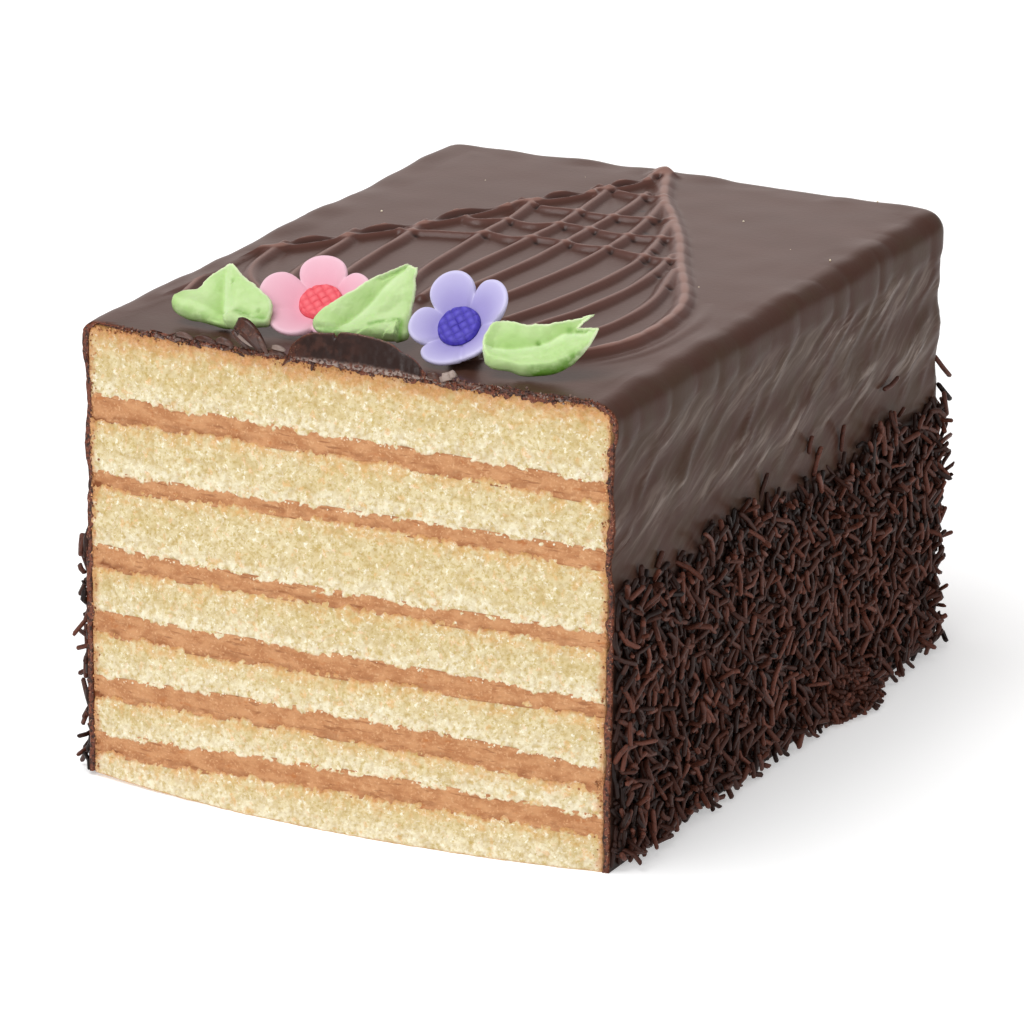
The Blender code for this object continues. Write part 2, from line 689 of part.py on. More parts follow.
def make_flower(name, middle, turn, tilt, cup, petals, group, petal_material, button_material):
    rings, spokes = 2, PETAL_SPOKES * len(petals)
    flat = BUTTON_RADIUS + GAP
    shape = bmesh.new()
    bmesh.ops.create_grid(shape, x_segments=rings, y_segments=spokes, size=0.5)
    for corner in shape.verts:
        angle, rim = rim_point(round((corner.co.y + 0.5) * spokes), petals)
        radius = (0.0, flat, rim)[round((corner.co.x + 0.5) * rings)]
        height = cup * max(0.0, radius - flat) / (FLOWER_RADIUS - flat)
        corner.co = Vector((radius * math.cos(angle), radius * math.sin(angle), height))
    bmesh.ops.remove_doubles(shape, verts=shape.verts[:], dist=1e-6)
    bmesh.ops.triangulate(shape, faces=shape.faces[:])
    bmesh.ops.recalc_face_normals(shape, faces=shape.faces[:])
    flower = object_from_bmesh(f"flower_{name}", shape, group, petal_material)
    flower.matrix_world = lean_frame(middle, turn, tilt)
    shell = flower.modifiers.new("thickness", "SOLIDIFY")
    shell.thickness = FLOWER_THICKNESS
    shell.offset = 0.0

    shape = bmesh.new()
    lift = Matrix.Translation((0.0, 0.0, FLOWER_THICKNESS / 2 + GAP + BUTTON_HEIGHT / 2))
    bmesh.ops.create_cone(
        shape,
        cap_ends=True,
        segments=20,
        radius1=BUTTON_RADIUS,
        radius2=0.86 * BUTTON_RADIUS,
        depth=BUTTON_HEIGHT,
        matrix=lift,
    )
    button = object_from_bmesh(f"flower_{name}_centre", shape, group, button_material)
    button.matrix_world = lean_frame(middle, turn, tilt)


def make_leaf(name, origin, turn, tilt, split, left_edge, right_edge, group, material):
    """A piped leaf between its two edges: thick where it sits on the glaze, thin and cupped
    towards its tip."""
    frame = lean_frame(origin, turn, tilt)
    cells_along = len(left_edge) - 1
    heading = (Vector(left_edge[-1]) - Vector(left_edge[0])).normalized()

    def place(point):
        along, across, through = point
        row = round(along * cells_along)
        share = (1.0 - across) / 2.0
        edge_share = abs(across) ** 1.5
        spot = Vector(left_edge[row]).lerp(Vector(right_edge[row]), share)
        spot -= heading * split * (1.0 - abs(across)) * along**4
        thickness = LEAF_TIP_THICKNESS + (LEAF_BASE_THICKNESS - LEAF_TIP_THICKNESS) * (1.0 - along) ** 2
        thickness *= 1.0 - LEAF_EDGE_THINNING * edge_share
        wave = LEAF_CUP_START + (LEAF_CUP_END - LEAF_CUP_START) * along
        height = LEAF_CUP * edge_share * math.sin(math.pi * wave)
        height += thickness * (through - 1.0 + LEAF_FRONT_SHARE)
        corner = frame @ Vector((spot.x, spot.y, height))
        corner.z = max(corner.z, HEIGHT + GAP)
        return corner

    cuts = (even_cuts(0.0, 1.0, cells_along), even_cuts(-1.0, 1.0, LEAF_CELLS_ACROSS), ())
    plain_block(name, (0.0, -1.0, 0.0), (1.0, 1.0, 1.0), cuts, place, group, material)


def make_decorations(group, materials):
    petal_slots = {"pink": ("pink_sugar", "red_sugar"), "purple": ("lilac_sugar", "blue_sugar")}
    for name, *sizes in FLOWERS:
        petals, button = (materials[slot] for slot in petal_slots[name])
        make_flower(name, *sizes, group, petals, button)
    for sizes in LEAVES:
        make_leaf(*sizes, group, materials["leaf_icing"])


def main():
    clear_scene()
    cake = make_collection("seven_layer_cake")
    materials = make_materials()
    make_layers(cake, materials)
    make_glaze(cake, materials["glaze"])
    make_decorations(cake, materials)
    for piece in cake.objects:
        piece.data.shade_smooth()
        piece.data.set_sharp_from_angle(angle=math.radians(40.0))


main()
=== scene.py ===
"""Looks of the seven layer cake: crumb, filling, glaze with its piped net and its drips, sprinkles,
sugar flowers, piped leaves and crumbs. Metres, +Z up, the cut face towards -Y, the table at z = 0."""

import math
import random

import bmesh
import bpy
import numpy as np
from mathutils import Matrix, Vector, noise


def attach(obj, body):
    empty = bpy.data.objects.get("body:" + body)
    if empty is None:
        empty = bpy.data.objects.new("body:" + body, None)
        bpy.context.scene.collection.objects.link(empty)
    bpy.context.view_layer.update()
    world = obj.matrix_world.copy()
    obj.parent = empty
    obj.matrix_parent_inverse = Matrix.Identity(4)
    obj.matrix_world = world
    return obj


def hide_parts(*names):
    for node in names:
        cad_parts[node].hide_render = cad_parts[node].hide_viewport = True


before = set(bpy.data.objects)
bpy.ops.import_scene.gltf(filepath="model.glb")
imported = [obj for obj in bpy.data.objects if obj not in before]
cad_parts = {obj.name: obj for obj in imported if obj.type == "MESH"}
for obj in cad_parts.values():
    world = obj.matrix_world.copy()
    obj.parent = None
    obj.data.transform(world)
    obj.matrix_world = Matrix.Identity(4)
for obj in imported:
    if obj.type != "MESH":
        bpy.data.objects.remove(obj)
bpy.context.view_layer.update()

MM = 0.001

# The cake as a plain box, over the glaze
WIDTH = 0.120
DEPTH = 0.160
HEIGHT = 0.098
FRONT = -DEPTH / 2

# How the soft box has settled
FRONT_BULGE_TOP = 0.002
FRONT_BULGE_BOTTOM = 0.006
BACK_BULGE = 0.0015
RIGHT_LEAN = 0.001
LEFT_CORNER_LIFT = 0.0009

# Glaze
GLAZE_SIDE = 0.0015
GLAZE_TOP = 0.0018
LEFT_TOP_RADIUS = 0.0030
RIGHT_TOP_RADIUS = 0.0045
BACK_TOP_RADIUS = 0.0045
BACK_CORNER_RADIUS = 0.0050

# Each filling: height of its middle, then thickness, at the left, middle and right of the cut face
FILLINGS = (
    ((0.0798, 0.0809, 0.0792), (0.0046, 0.0031, 0.0035)),
    ((0.0641, 0.0665, 0.0654), (0.0028, 0.0019, 0.0031)),
    ((0.0476, 0.0493, 0.0486), (0.0041, 0.0021, 0.0027)),
    ((0.0331, 0.0353, 0.0346), (0.0039, 0.0037, 0.0021)),
    ((0.0188, 0.0226, 0.0192), (0.0035, 0.0040, 0.0040)),
    ((0.0064, 0.0110, 0.0095), (0.0035, 0.0040, 0.0031)),
)
SPONGE_CELL = 0.00036  # how far apart the points of a cut face stand
FILLING_CELL = 0.00055
LAYER_WAVE = 0.0006
LAYER_INSET = 0.0009  # from the outside of the glaze to the ends of the layers
LAYER_BACK = DEPTH / 2 - 0.0018  # where the layers end behind the glaze, a little narrower
BACK_NARROWING = 0.965
BEHIND_CUT = 0.3  # the numbers for the material on the points behind the cut face

# Width of the glaze's cut edge: on the sides, and over the top at places across, in millimetres
SIDE_RIM = 0.00105
RIM_PLACES = (-60.0, -46.0, -43.0, -14.0, -10.0, 18.0, 22.0, 46.0, 52.0, 60.0)
RIM_WIDTHS = (0.50, 0.50, 0.85, 0.90, 1.10, 1.20, 1.45, 1.35, 0.75, 0.60)
CUT_ROWS = 5  # rows of points across the cut edge

# Sprinkle coat: its upper edge is higher at the right, falls towards the back and waves
COAT_TOP = 0.0559
COAT_TOP_LEAN = 0.0030
COAT_TOP_FALL = 0.02
COAT_TOP_WANDER = 0.0016
COAT_TOP_WAVE = 0.072
COAT_TOP_CREST = -0.017
COAT_BASE = 0.0005  # how far the glaze stands out under the sprinkles
COAT_LIMIT = 0.062  # no place for a sprinkle is higher
SPRINKLE_RADIUS = 0.00055
SPRINKLE_LENGTHS = (2.2, 4.8, 7.8)  # shortest, usual and longest, in millimetres
SPRINKLE_BEND = 0.65  # how far the middle of a sprinkle stands off, in millimetres
SPRINKLE_LAYERS = (  # spacing, least and most distance from the wall in millimetres, tilt in degrees
    (2.30, 0.0, 0.7, 12.0),
    (2.75, 1.0, 2.4, 30.0),
)
STEEP_SHARE = 0.6  # share of the sprinkles that point roughly up
SPRINKLE_SEED = 11
INNER_SHADE = 0.25  # the sprinkles that lie on the wall are painted darker, as shade under those over them
CLUMP_COUNT = 420  # the clump at the foot of the right side: sprinkles, place, length and height
CLUMP_Y = 0.030
CLUMP_LENGTH = 0.013
CLUMP_HEIGHT = 0.010
STRAY_SPRINKLES = (  # single ones above the coat: middle in millimetres, then the way it points
    (60.6, 10.0, 64.5, 0.15, 0.1, 1.0), (60.4, 14.0, 59.8, 0.1, 0.4, 1.0),
    (60.6, 26.0, 61.5, 0.1, 0.0, 1.0), (60.6, 50.0, 67.0, 0.1, 1.0, 0.2),
    (59.6, 79.0, 63.0, 0.5, 0.6, -1.0), (60.2, 80.0, 43.0, 1.0, 0.7, 0.4),
    (60.0, 79.6, 57.0, 0.6, 0.5, -1.0), (60.3, -60.0, 60.2, 0.1, 0.6, 1.0),
    (60.3, -12.0, 61.5, 0.1, 0.5, 1.0),
)

# Slanting folds where the glaze ran down the walls, in two bands
FOLD_SEED = 4
FOLD_COUNT = 170
FOLD_SLOPE = 25.0
FOLD_HEIGHTS = ((85.0, 2.0), (71.0, 3.6))  # height and spread of each band, in millimetres
FOLD_BANDS = ((85.0, 5.0), (70.5, 6.5))  # height and half height of the bands that they lie in
SHOULDER_Z = 0.0868  # where the smooth shoulder over the folds ends
WALL_BULGES = ((80.0, 3.0, -0.30), (73.0, 3.4, 0.35), (65.0, 3.0, -0.35))  # height, half height and depth
WALL_COLUMNS = (104, 84, 250)  # points along the left, the back and the right wall
TOP_COLUMNS = 226
TOP_ROWS = 232

# Piped net on the top: routes of its strands in millimetres, x and y
LEFT_LOOPS = (  # ends of the loops along the left side, and how far each loop bulges out
    ((-50.5, -57.0), (-54.3, -27.0), 1.2),
    ((-54.3, -27.0), (-49.8, -16.5), 1.8),
    ((-49.8, -16.5), (-41.5, -3.5), 3.0),
    ((-41.5, -3.5), (-31.5, 12.8), 3.4),
    ((-31.5, 12.8), (-22.6, 33.2), 3.6),
    ((-22.6, 33.2), (-18.8, 39.6), 1.4),
    ((-18.8, 39.6), (-11.6, 51.2), 3.4),
    ((-11.6, 51.2), (-9.8, 55.2), 1.3),
    ((-9.8, 55.2), (-5.2, 65.0), 3.0),
    ((-5.2, 65.0), (-4.6, 73.0), 1.4),
)
WIDE_LOOP = 2.0  # a loop that bulges further has an inner rope too
LOOP_ROPE = (2.0, 1.45)  # half the width and height of a rope, in millimetres
INNER_ROPE = (1.6, 1.15)
INNER_BULGE = -0.5
RIGHT_ROPE = (
    (-4.6, 73.0), (3.6, 54.9), (11.0, 43.8), (21.0, 27.5), (29.0, 12.0), (36.8, -2.0), (40.8, -10.0),
    (43.6, -18.0), (45.0, -27.0), (45.2, -36.0), (44.2, -44.0), (41.0, -51.5), (35.5, -57.0),
)
TIP = (-5.4, 72.6)
TIP_BLOB = (3.6, 2.1)  # its half width and height
LONG_STRANDS = (
    ((-51.0, -13.0), (-50.0, -22.0), (-48.3, -31.0), (-44.5, -39.0), (-38.0, -46.0)),
    ((-42.6, 2.0), (-40.4, -6.0), (-39.8, -16.0), (-38.8, -28.0), (-36.0, -40.0)),
    ((-33.0, 16.0), (-31.2, 3.0), (-30.5, -10.0), (-29.5, -22.0), (-27.0, -36.0), (-24.0, -48.0)),
    ((-19.8, 41.0), (-18.0, 26.0), (-17.6, 12.0), (-16.8, -2.0), (-15.8, -16.0), (-13.2, -30.0),
     (-9.0, -46.0)),
    ((-10.0, 56.0), (-8.0, 42.0), (-6.8, 28.0), (-7.3, 12.0), (-8.0, -4.0), (-8.3, -18.0), (-7.0, -34.0)),
    ((-1.0, 56.0), (0.6, 42.0), (0.7, 28.0), (0.8, 12.0), (0.4, -4.0), (-0.8, -18.0), (-2.5, -34.0)),
    ((5.5, 50.0), (8.3, 38.0), (10.2, 24.0), (10.7, 10.0), (10.0, -6.0), (8.4, -20.0), (6.0, -36.0)),
    ((14.0, 37.0), (17.5, 25.0), (20.2, 12.0), (20.8, 0.0), (20.2, -12.0), (18.6, -25.0), (15.6, -40.0)),
    ((25.0, 16.0), (27.2, 4.0), (28.0, -8.0), (27.3, -20.0), (25.4, -32.0), (21.5, -46.0)),
    ((30.5, 6.0), (34.0, -6.0), (36.2, -16.0), (36.8, -27.0), (35.8, -38.0), (32.0, -49.0), (26.5, -57.0)),
)
CROSS_STRANDS = (
    ((-13.0, 57.0), (-6.0, 54.2), (0.5, 53.5), (4.0, 55.0)),
    ((-22.8, 40.0), (-16.0, 36.2), (-9.0, 36.8), (-3.0, 36.0), (4.0, 37.2), (13.0, 40.0)),
    ((-30.5, 24.5), (-24.0, 20.5), (-18.0, 24.0), (-12.0, 23.2), (-6.5, 26.3), (1.0, 25.8), (8.0, 24.8),
     (19.0, 27.0)),
    ((-39.0, 8.0), (-33.0, 6.5), (-27.0, 8.5), (-20.0, 10.5), (-16.5, 13.0), (-11.0, 12.0), (-6.5, 14.5),
     (0.0, 14.6), (6.0, 13.6), (11.0, 14.5), (18.0, 13.0), (27.0, 12.5)),
)
STRAND_KINDS = (  # routes, then half the width and height in millimetres, and how the width wavers
    (LONG_STRANDS, 2.45, 1.30, 0.07, 3.3, 2.0),
    (CROSS_STRANDS, 2.05, 1.25, 0.12, 2.6, 3.0),
)
FAINT_RING = ((46.0, -9.0), (49.0, -18.0), (50.4, -30.0), (50.2, -42.0), (47.5, -52.0), (43.0, -59.0))
FAINT_ROPE = (2.2, 0.35)
HOLE_RADIUS = 0.55
HOLE_SHIFT = (1.7, -1.5)  # from a crossing of two strands to the small hole beside it
ROPE_HOLES = (  # small holes beside the right rope
    (3.2, 45.8), (10.7, 38.8), (11.7, 30.8), (19.2, 23.8), (20.7, 16.8), (21.7, 9.8), (24.2, 7.8),
    (29.2, 1.8), (35.2, -5.2), (-4.6, 69.0),
)

# Curled lip along the cut edge: its upper and lower edge as x and z in millimetres, from the claw on
LIP_TOP = (
    (-13.0, 96.0), (-12.0, 98.2), (-11.3, 100.1), (-10.0, 101.5), (-7.2, 103.1), (-4.0, 103.5), (0.4, 104.2),
    (5.2, 104.2), (10.2, 103.5), (12.9, 102.4), (16.0, 101.2), (19.4, 99.0),
)
LIP_FOOT = (
    (-13.0, 95.8), (-11.4, 96.9), (-9.6, 97.9), (-6.0, 97.9), (-2.0, 97.7), (2.0, 97.5), (6.0, 97.5),
    (9.5, 97.5), (13.0, 97.6), (16.0, 97.7), (18.0, 97.8), (19.4, 98.1),
)

# Curled flakes at the top of the cut: places as x, distance in front and height, then half the width and
# half the thickness, all in millimetres, then how strong the flake's painted glint is
CURLS = (
    (((-24.4, -1.2, 102.6), (-22.2, -0.2, 102.5), (-19.8, 0.5, 101.2), (-17.0, 0.6, 98.4)), 1.75, 0.30, 0.0),
    (((-22.8, 0.9, 100.9), (-21.0, 1.3, 100.2), (-19.2, 1.3, 99.2)), 0.55, 0.22, 0.85),
    (((-24.6, 0.2, 101.3), (-22.6, 0.9, 100.0), (-20.6, 0.9, 98.6)), 0.60, 0.25, 0.05),
    (((-18.6, 0.4, 101.2), (-17.2, 1.0, 99.8), (-16.2, 0.8, 98.0)), 0.55, 0.25, 0.2),
    (((-15.2, 0.6, 99.5), (-13.6, 1.1, 99.7), (-12.0, 0.9, 99.3)), 0.55, 0.25, 0.8),
    (((-16.2, 0.2, 98.4), (-14.0, 0.8, 98.7), (-12.2, 0.6, 98.2)), 0.65, 0.35, 0.1),
    (((-28.5, 0.0, 98.7), (-26.6, 0.6, 99.1), (-24.4, 0.4, 98.4)), 0.75, 0.35, 0.15),
    (((-33.5, 0.0, 98.5), (-31.0, 0.5, 98.9), (-28.2, 0.3, 98.2)), 0.6, 0.35, 0.0),
    (((-38.0, 0.0, 98.5), (-36.0, 0.4, 98.9), (-33.8, 0.2, 98.2)), 0.6, 0.3, 0.3),
    (((-5.6, 0.6, 97.6), (-5.9, 0.9, 96.8), (-6.1, 0.8, 96.0)), 0.35, 0.3, 0.0),
    (((19.6, 0.2, 98.5), (21.2, 0.7, 98.8), (22.8, 0.3, 98.0)), 0.8, 0.5, 0.1),
)
CHUNKS = (  # angular bits: x, distance in front, z, radius and how strong the painted glint is
    (24.3, 0.5, 99.1, 1.30, 1.33), (25.2, 0.4, 99.6, 1.00, 1.2), (23.3, 0.6, 98.4, 0.80, 0.9),
    (21.6, 0.6, 98.3, 0.70, 0.1),
    (26.4, 0.3, 98.5, 0.55, 0.5), (-17.6, 0.7, 98.2, 0.50, 0.1), (27.8, 0.2, 98.4, 0.50, 0.2),
)
LIP_NICK_X = -0.0016  # a nick in the lip's upper edge
CHIP_SIDES = 6
SCRAP_SEED = 5
GRAIN_SEED = 6
SCRAP_HEIGHT = (97.75, 0.35)  # middle and spread, in millimetres
GRAIN_HEIGHT = (97.7, 0.38)
SCRAP_RUNS = ((-46.0, -13.0, 60), (17.0, 52.0, 100))  # from x, to x, how many scraps
GRAIN_RUNS = ((-52.0, -13.0, 260), (-8.0, 19.0, 60), (17.0, 57.0, 330))  # the same for grains

# Crumbs
CRUMB_SEED = 7
CRUMB_COUNT = 380  # brown crumbs along the sides of the cut, and as many along its top
PALE_CRUMBS = 80  # pale crumbs at the foot of each sponge
TOP_SPECKS = (  # places of pale specks on the top, in millimetres
    (25.6, 48.9), (43.6, 34.6), (54.4, 31.2), (44.3, 76.8), (39.0, 0.3), (54.6, -34.7),
    (-46.0, 20.0), (-38.0, 52.0), (-20.0, 64.0), (10.0, -52.0),
)

# Flowers and leaves
FLOWER_RADIUS = 0.0110
FLOWER_THICKNESS = 0.0015
BUTTON_RADIUS = 0.00455
BUTTON_HEIGHT = 0.0012
WEAVE_DEPTH = 0.00042
PETAL_ROUNDNESS = 0.45
FLOWERS = (  # name, middle, turn, tilt, cup of its petals, then each petal's direction, length and notch
    ("pink", (-0.0151, -0.0622, 0.1028), 5.0, 31.0, 0.0022, (
        (27.0, 0.0107, 0.0074), (111.0, 0.0116, 0.0072), (173.0, 0.0131, 0.0106),
        (240.0, 0.0117, 0.0065), (312.0, 0.0105, 0.0065),
    )),
    ("purple", (0.0191, -0.0670, 0.1040), -2.0, 42.0, 0.0028, (
        (55.0, 0.0119, 0.0070), (118.0, 0.0121, 0.0068), (194.0, 0.0103, 0.0066),
        (259.0, 0.0103, 0.0086), (336.0, 0.0098, 0.0065),
    )),
)
DAB_RADIUS = 0.0050
LEAF_BASE_THICKNESS = 0.0042
LEAF_TIP_THICKNESS = 0.0014
LEAF_THICK_REACH = 0.0090  # how far up a leaf its thick foot reaches
LEAF_FRONT_SHARE = 0.45
LEAF_CREASES = {
    # In millimetres on the leaf: a route, then width and height of its left and its right flank, how strong
    # it is at its start and end, and how much painted shade it puts on its left flank and painted light on
    # its right
    "leaf_1": (
        (((-2.6, 3.7), (-3.9, 5.4), (-5.2, 7.9), (-6.7, 11.3), (-7.5, 14.3)),
         4.8, -2.0, 3.0, -2.0, 1.0, 0.45, 0.7),
        (((-14.4, 4.6), (-10.9, 4.3), (-6.9, 3.9), (-3.5, 3.3), (0.1, 3.0)),
         2.2, 0.9, 3.2, 0.9, 0.8, 1.0, 0.0),
        (((0.6, 5.2), (4.0, 4.4), (7.0, 4.4)), 1.8, -0.9, 1.4, -0.9, 0.7, 1.0, 0.3),
    ),
    "leaf_2": (
        (((-10.4, 3.8), (-8.3, 6.2), (-6.3, 9.2), (-4.7, 11.9), (-2.6, 14.5), (-0.8, 16.2)),
         4.4, -1.9, 2.8, -1.9, 0.8, 0.6, 0.7),
        (((-5.0, 13.9), (-2.7, 15.4), (-0.5, 17.1)), 0.7, -0.5, 0.5, -0.5, 1.0, 0.6, 0.2),
        (((-8.1, 0.9), (-5.3, 2.4), (-2.7, 3.1), (0.1, 3.7), (0.3, 3.6), (0.2, 1.8), (0.0, 0.0)),
         0.3, 0.0, 7.0, 1.5, 0.1, 1.3, 0.0),
        (((-16.3, 2.0), (-13.8, 2.0), (-11.4, 2.2)), 0.9, -0.6, 0.9, -0.6, 1.0, 0.6, 0.3),
        (((-6.5, 5.3), (-2.6, 6.4), (-0.5, 8.7)), 1.4, -0.6, 1.8, -0.6, 0.8, 0.6, 0.2),
    ),
    "leaf_3": (
        (((-8.5, 7.0), (-5.1, 7.0), (-1.6, 7.6), (1.7, 8.6), (3.8, 10.0), (5.7, 11.0), (9.2, 11.2)),
         4.6, -1.9, 2.6, -1.9, 0.8, 0.9, 0.7),
        (((-8.7, 11.6), (-10.0, 9.6), (-10.1, 7.0), (-9.2, 5.0), (-6.1, 3.6), (-2.0, 2.8), (0.3, 2.9),
          (3.7, 3.5), (5.4, 4.4), (7.3, 5.4), (9.2, 6.6)), 1.6, 0.8, 1.6, 0.8, 1.0, 0.8, 0.0),
    ),
}
LEAF_SHADES = {  # strokes of painted shade in deeper green: a route, half its width and its strength
    "leaf_1": (
        (((0.8, 4.6), (4.0, 3.9), (6.8, 4.0)), 1.5, 0.7),
        (((-14.2, 2.6), (-10.2, 1.8), (-5.9, 1.6)), 1.6, 0.35),
    ),
    "leaf_2": (
        (((-5.6, 3.2), (-2.8, 4.0), (0.2, 4.5), (0.8, 3.6), (0.9, 0.8)), 0.9, 0.8),
        (((-15.4, 1.4), (-12.4, 1.5)), 1.2, 0.6), (((-4.4, 14.1), (-2.4, 15.4), (-0.6, 16.8)), 0.7, 0.4),
    ),
    "leaf_3": (
        (((0.5, 1.0), (3.8, 1.4), (6.6, 3.0), (8.4, 4.9)), 2.6, 1.0), (((6.2, 11.4), (9.6, 11.8)), 1.1, 0.7),
    ),
}
LEAF_DENTS = {  # places and radii of small dents, in millimetres; they are painted deeper green as shade
    "leaf_1": ((-4.3, 11.2, 0.5), (5.1, 5.4, 0.45)),
    "leaf_2": (),
    "leaf_3": ((0.3, 8.4, 0.45),),
}
LEAVES = (  # node, foot, turn, tilt, depth of the tip's split, then the left and right edge in millimetres
    ("leaf_1", (-0.0298, -0.0751, 0.0988), -5.0, 42.0, 0.0, (
        (0.5, 0.9), (-2.5, 0.9), (-6.8, 1.1), (-10.9, 1.2), (-14.2, 2.3), (-15.3, 4.6), (-14.4, 6.9),
        (-11.3, 8.2), (-10.2, 11.2), (-8.8, 13.3), (-6.5, 15.3),
    ), (
        (2.3, 1.3), (3.9, 1.8), (6.0, 2.4), (8.0, 3.2), (8.0, 5.4), (7.0, 8.1), (4.2, 10.0), (0.4, 11.8),
        (-2.1, 12.8), (-4.6, 14.4), (-6.3, 15.4),
    )),
    ("leaf_2", (0.0055, -0.0690, 0.0997), 15.0, 50.0, 0.0, (
        (-14.6, 0.5), (-17.0, 1.8), (-17.6, 3.8), (-16.0, 6.2), (-13.1, 8.8), (-9.6, 11.5), (-6.6, 14.0),
        (-3.6, 15.6), (-0.4, 17.5),
    ), (
        (0.0, 0.2), (2.3, 1.3), (2.3, 3.7), (2.3, 6.3), (2.3, 8.5), (2.4, 11.3), (2.0, 13.9), (2.1, 15.5),
        (2.0, 16.5),
    )),
    ("leaf_3", (0.0389, -0.0746, 0.0981), 18.0, 52.0, 4.2, (
        (-10.5, 5.9), (-10.6, 8.2), (-9.9, 10.4), (-8.6, 12.1), (-5.3, 12.4), (-1.6, 12.0), (1.9, 12.4),
        (5.4, 13.3), (8.3, 14.0), (11.3, 14.9),
    ), (
        (-9.7, 3.2), (-7.9, 2.2), (-4.9, 1.9), (-2.0, 1.1), (1.6, 1.3), (4.7, 2.1), (7.3, 3.7), (9.3, 5.8),
        (11.1, 8.8), (12.3, 12.1),
    )),
)

# Camera
CAMERA_TARGET = Vector((-0.0039, 0.0, 0.0427))
CAMERA_AZIMUTH = 27.33
CAMERA_ELEVATION = 18.25
CAMERA_ROLL = 0.28
CAMERA_DISTANCE = 1.444
CAMERA_LENS = 240.4
CAMERA_SENSOR = 36.0

# Studio
WHITE = (1.0, 1.0, 1.0, 1.0)
WORLD_STRENGTH = 0.33
FLOOR_REACH = 3.0
FLOOR_COLOUR = (0.84, 0.84, 0.84, 1.0)
FLOOR_GLOW = 0.36
LIGHT_TARGET = Vector((0.0, 0.0, 0.05))
LIGHTS = (  # name, place, width and height, power, colour
    ("key", (-0.70, -0.70, 2.4), (1.9, 1.9), 47.0, (1.0, 1.0, 1.0)),
    ("front", (0.15, -1.3, 0.55), (0.9, 0.6), 6.2, (1.0, 1.0, 1.0)),
    ("back_left", (-0.75, 1.15, 0.50), (1.3, 0.8), 2.2, (1.0, 0.83, 0.77)),
    ("right", (1.15, 0.35, 0.45), (0.5, 0.5), 3.0, (1.0, 1.0, 1.0)),
)


# Shapes and arrays


def smooth_step(value):
    value = np.clip(value, 0.0, 1.0)
    return value * value * (3.0 - 2.0 * value)


def bell(value):
    return np.exp(-np.square(value))


def side_share(x):
    """From -1 at the left side to 1 at the right."""
    return np.clip(2.0 * x / WIDTH, -1.0, 1.0)


def back_share(y):
    """From 0 at the cut face to 1 at the back."""
    return np.clip(y / DEPTH + 0.5, 0.0, 1.0)


def grain(points, size, octaves=3, shift=0.0, rough=0.7):
    """Smooth noise of about -1 to 1 at each point, with lumps of about this size."""
    size = np.broadcast_to(size, 3)
    places = np.asarray(points) / size + shift + 0.37
    return np.array([noise.fractal(place, rough, 2.1, octaves) for place in places])


def lumps(points, size, shift=0.0):
    """Rounded lumps of about this size: 0 in their middles and up to about 1 in the clefts between."""
    places = np.asarray(points) / size + shift
    return np.array([noise.voronoi(place)[0][0] for place in places])


def settle(points):
    """Moves points of the plain box to where the soft, cut cake holds them."""
    x, y, z = np.asarray(points, float).T
    across, back = side_share(x), back_share(y)
    up = np.clip(z / HEIGHT, 0.0, 1.0)
    crown = 1.0 - across**2
    front_bulge = FRONT_BULGE_TOP * up + FRONT_BULGE_BOTTOM * (1.0 - up)
    lift = LEFT_CORNER_LIFT * np.maximum(0.0, -across) ** 3 * (1.0 - back) ** 4 * (1.0 - up)
    return np.column_stack((
        x - RIGHT_LEAN * (1.0 - up) * (across + 1.0) / 2.0,
        y - front_bulge * crown * (1.0 - back) ** 2 + BACK_BULGE * crown * back**2,
        z + lift,
    ))


def sheet_faces(index):
    """Faces between points whose numbers stand in a grid: a face's first side runs along a row."""
    corners = (index[:-1, :-1], index[:-1, 1:], index[1:, 1:], index[1:, :-1])
    return np.stack(corners, axis=-1).reshape(-1, 4).tolist()


def round_edge(grid):
    """The outer entries of a grid in order, ending with the first again."""
    return np.concatenate((grid[0], grid[1:, -1], grid[-1, -2::-1], grid[-2::-1, 0]))


def ring_index(count, spokes):
    """Numbers of points that stand in rings, each ring ending with its first point again."""
    index = np.arange(count * spokes).reshape(count, spokes)
    return np.column_stack((index, index[:, 0]))


def capped_faces(count, spokes):
    """Faces round a stack of rings of points and over both its ends."""
    index = ring_index(count, spokes)
    return sheet_faces(index) + [index[0, -2::-1].tolist(), index[-1, :-1].tolist()]


def ring_angles(spokes):
    return np.arange(spokes) * 2.0 * math.pi / spokes


def zip_rows(first, second, first_places, second_places):
    """Triangles between two rows of points, from each point's place along them."""
    faces = []
    a = b = 0
    while a < len(first) - 1 or b < len(second) - 1:
        at_end = b == len(second) - 1
        if at_end or (a < len(first) - 1 and first_places[a + 1] <= second_places[b + 1]):
            faces.append((int(first[a]), int(second[b]), int(first[a + 1])))
            a += 1
        else:
            faces.append((int(first[a]), int(second[b]), int(second[b + 1])))
            b += 1
    return faces


def add_object(name, data):
    thing = bpy.data.objects.new(name, data)
    bpy.context.scene.collection.objects.link(thing)
    return thing


def mesh_object(name, points, faces, material, **values):
    """A smooth mesh. values are numbers for each point, which the material reads by name."""
    mesh = bpy.data.meshes.new(name)
    mesh.from_pydata(np.asarray(points).tolist(), [], faces)
    mesh.materials.append(material)
    mesh.shade_smooth()
    for value_name, numbers in values.items():
        layer = mesh.attributes.new(value_name, "FLOAT", "POINT")
        layer.data.foreach_set("value", np.asarray(numbers, np.float32))
    return add_object(name, mesh)


def dress(piece, slot, *nodes):
    """Lets a piece ride with the cake and stand for these solids."""
    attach(piece, "root")
    if nodes:
        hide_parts(*nodes)


# Materials


def rgb(red, green, blue):
    """A colour as it looks on a screen, 0 to 255, as linear light."""
    parts = [part / 255.0 for part in (red, green, blue)]
    return tuple(part / 12.92 if part <= 0.04045 else ((part + 0.055) / 1.055) ** 2.4 for part in parts)


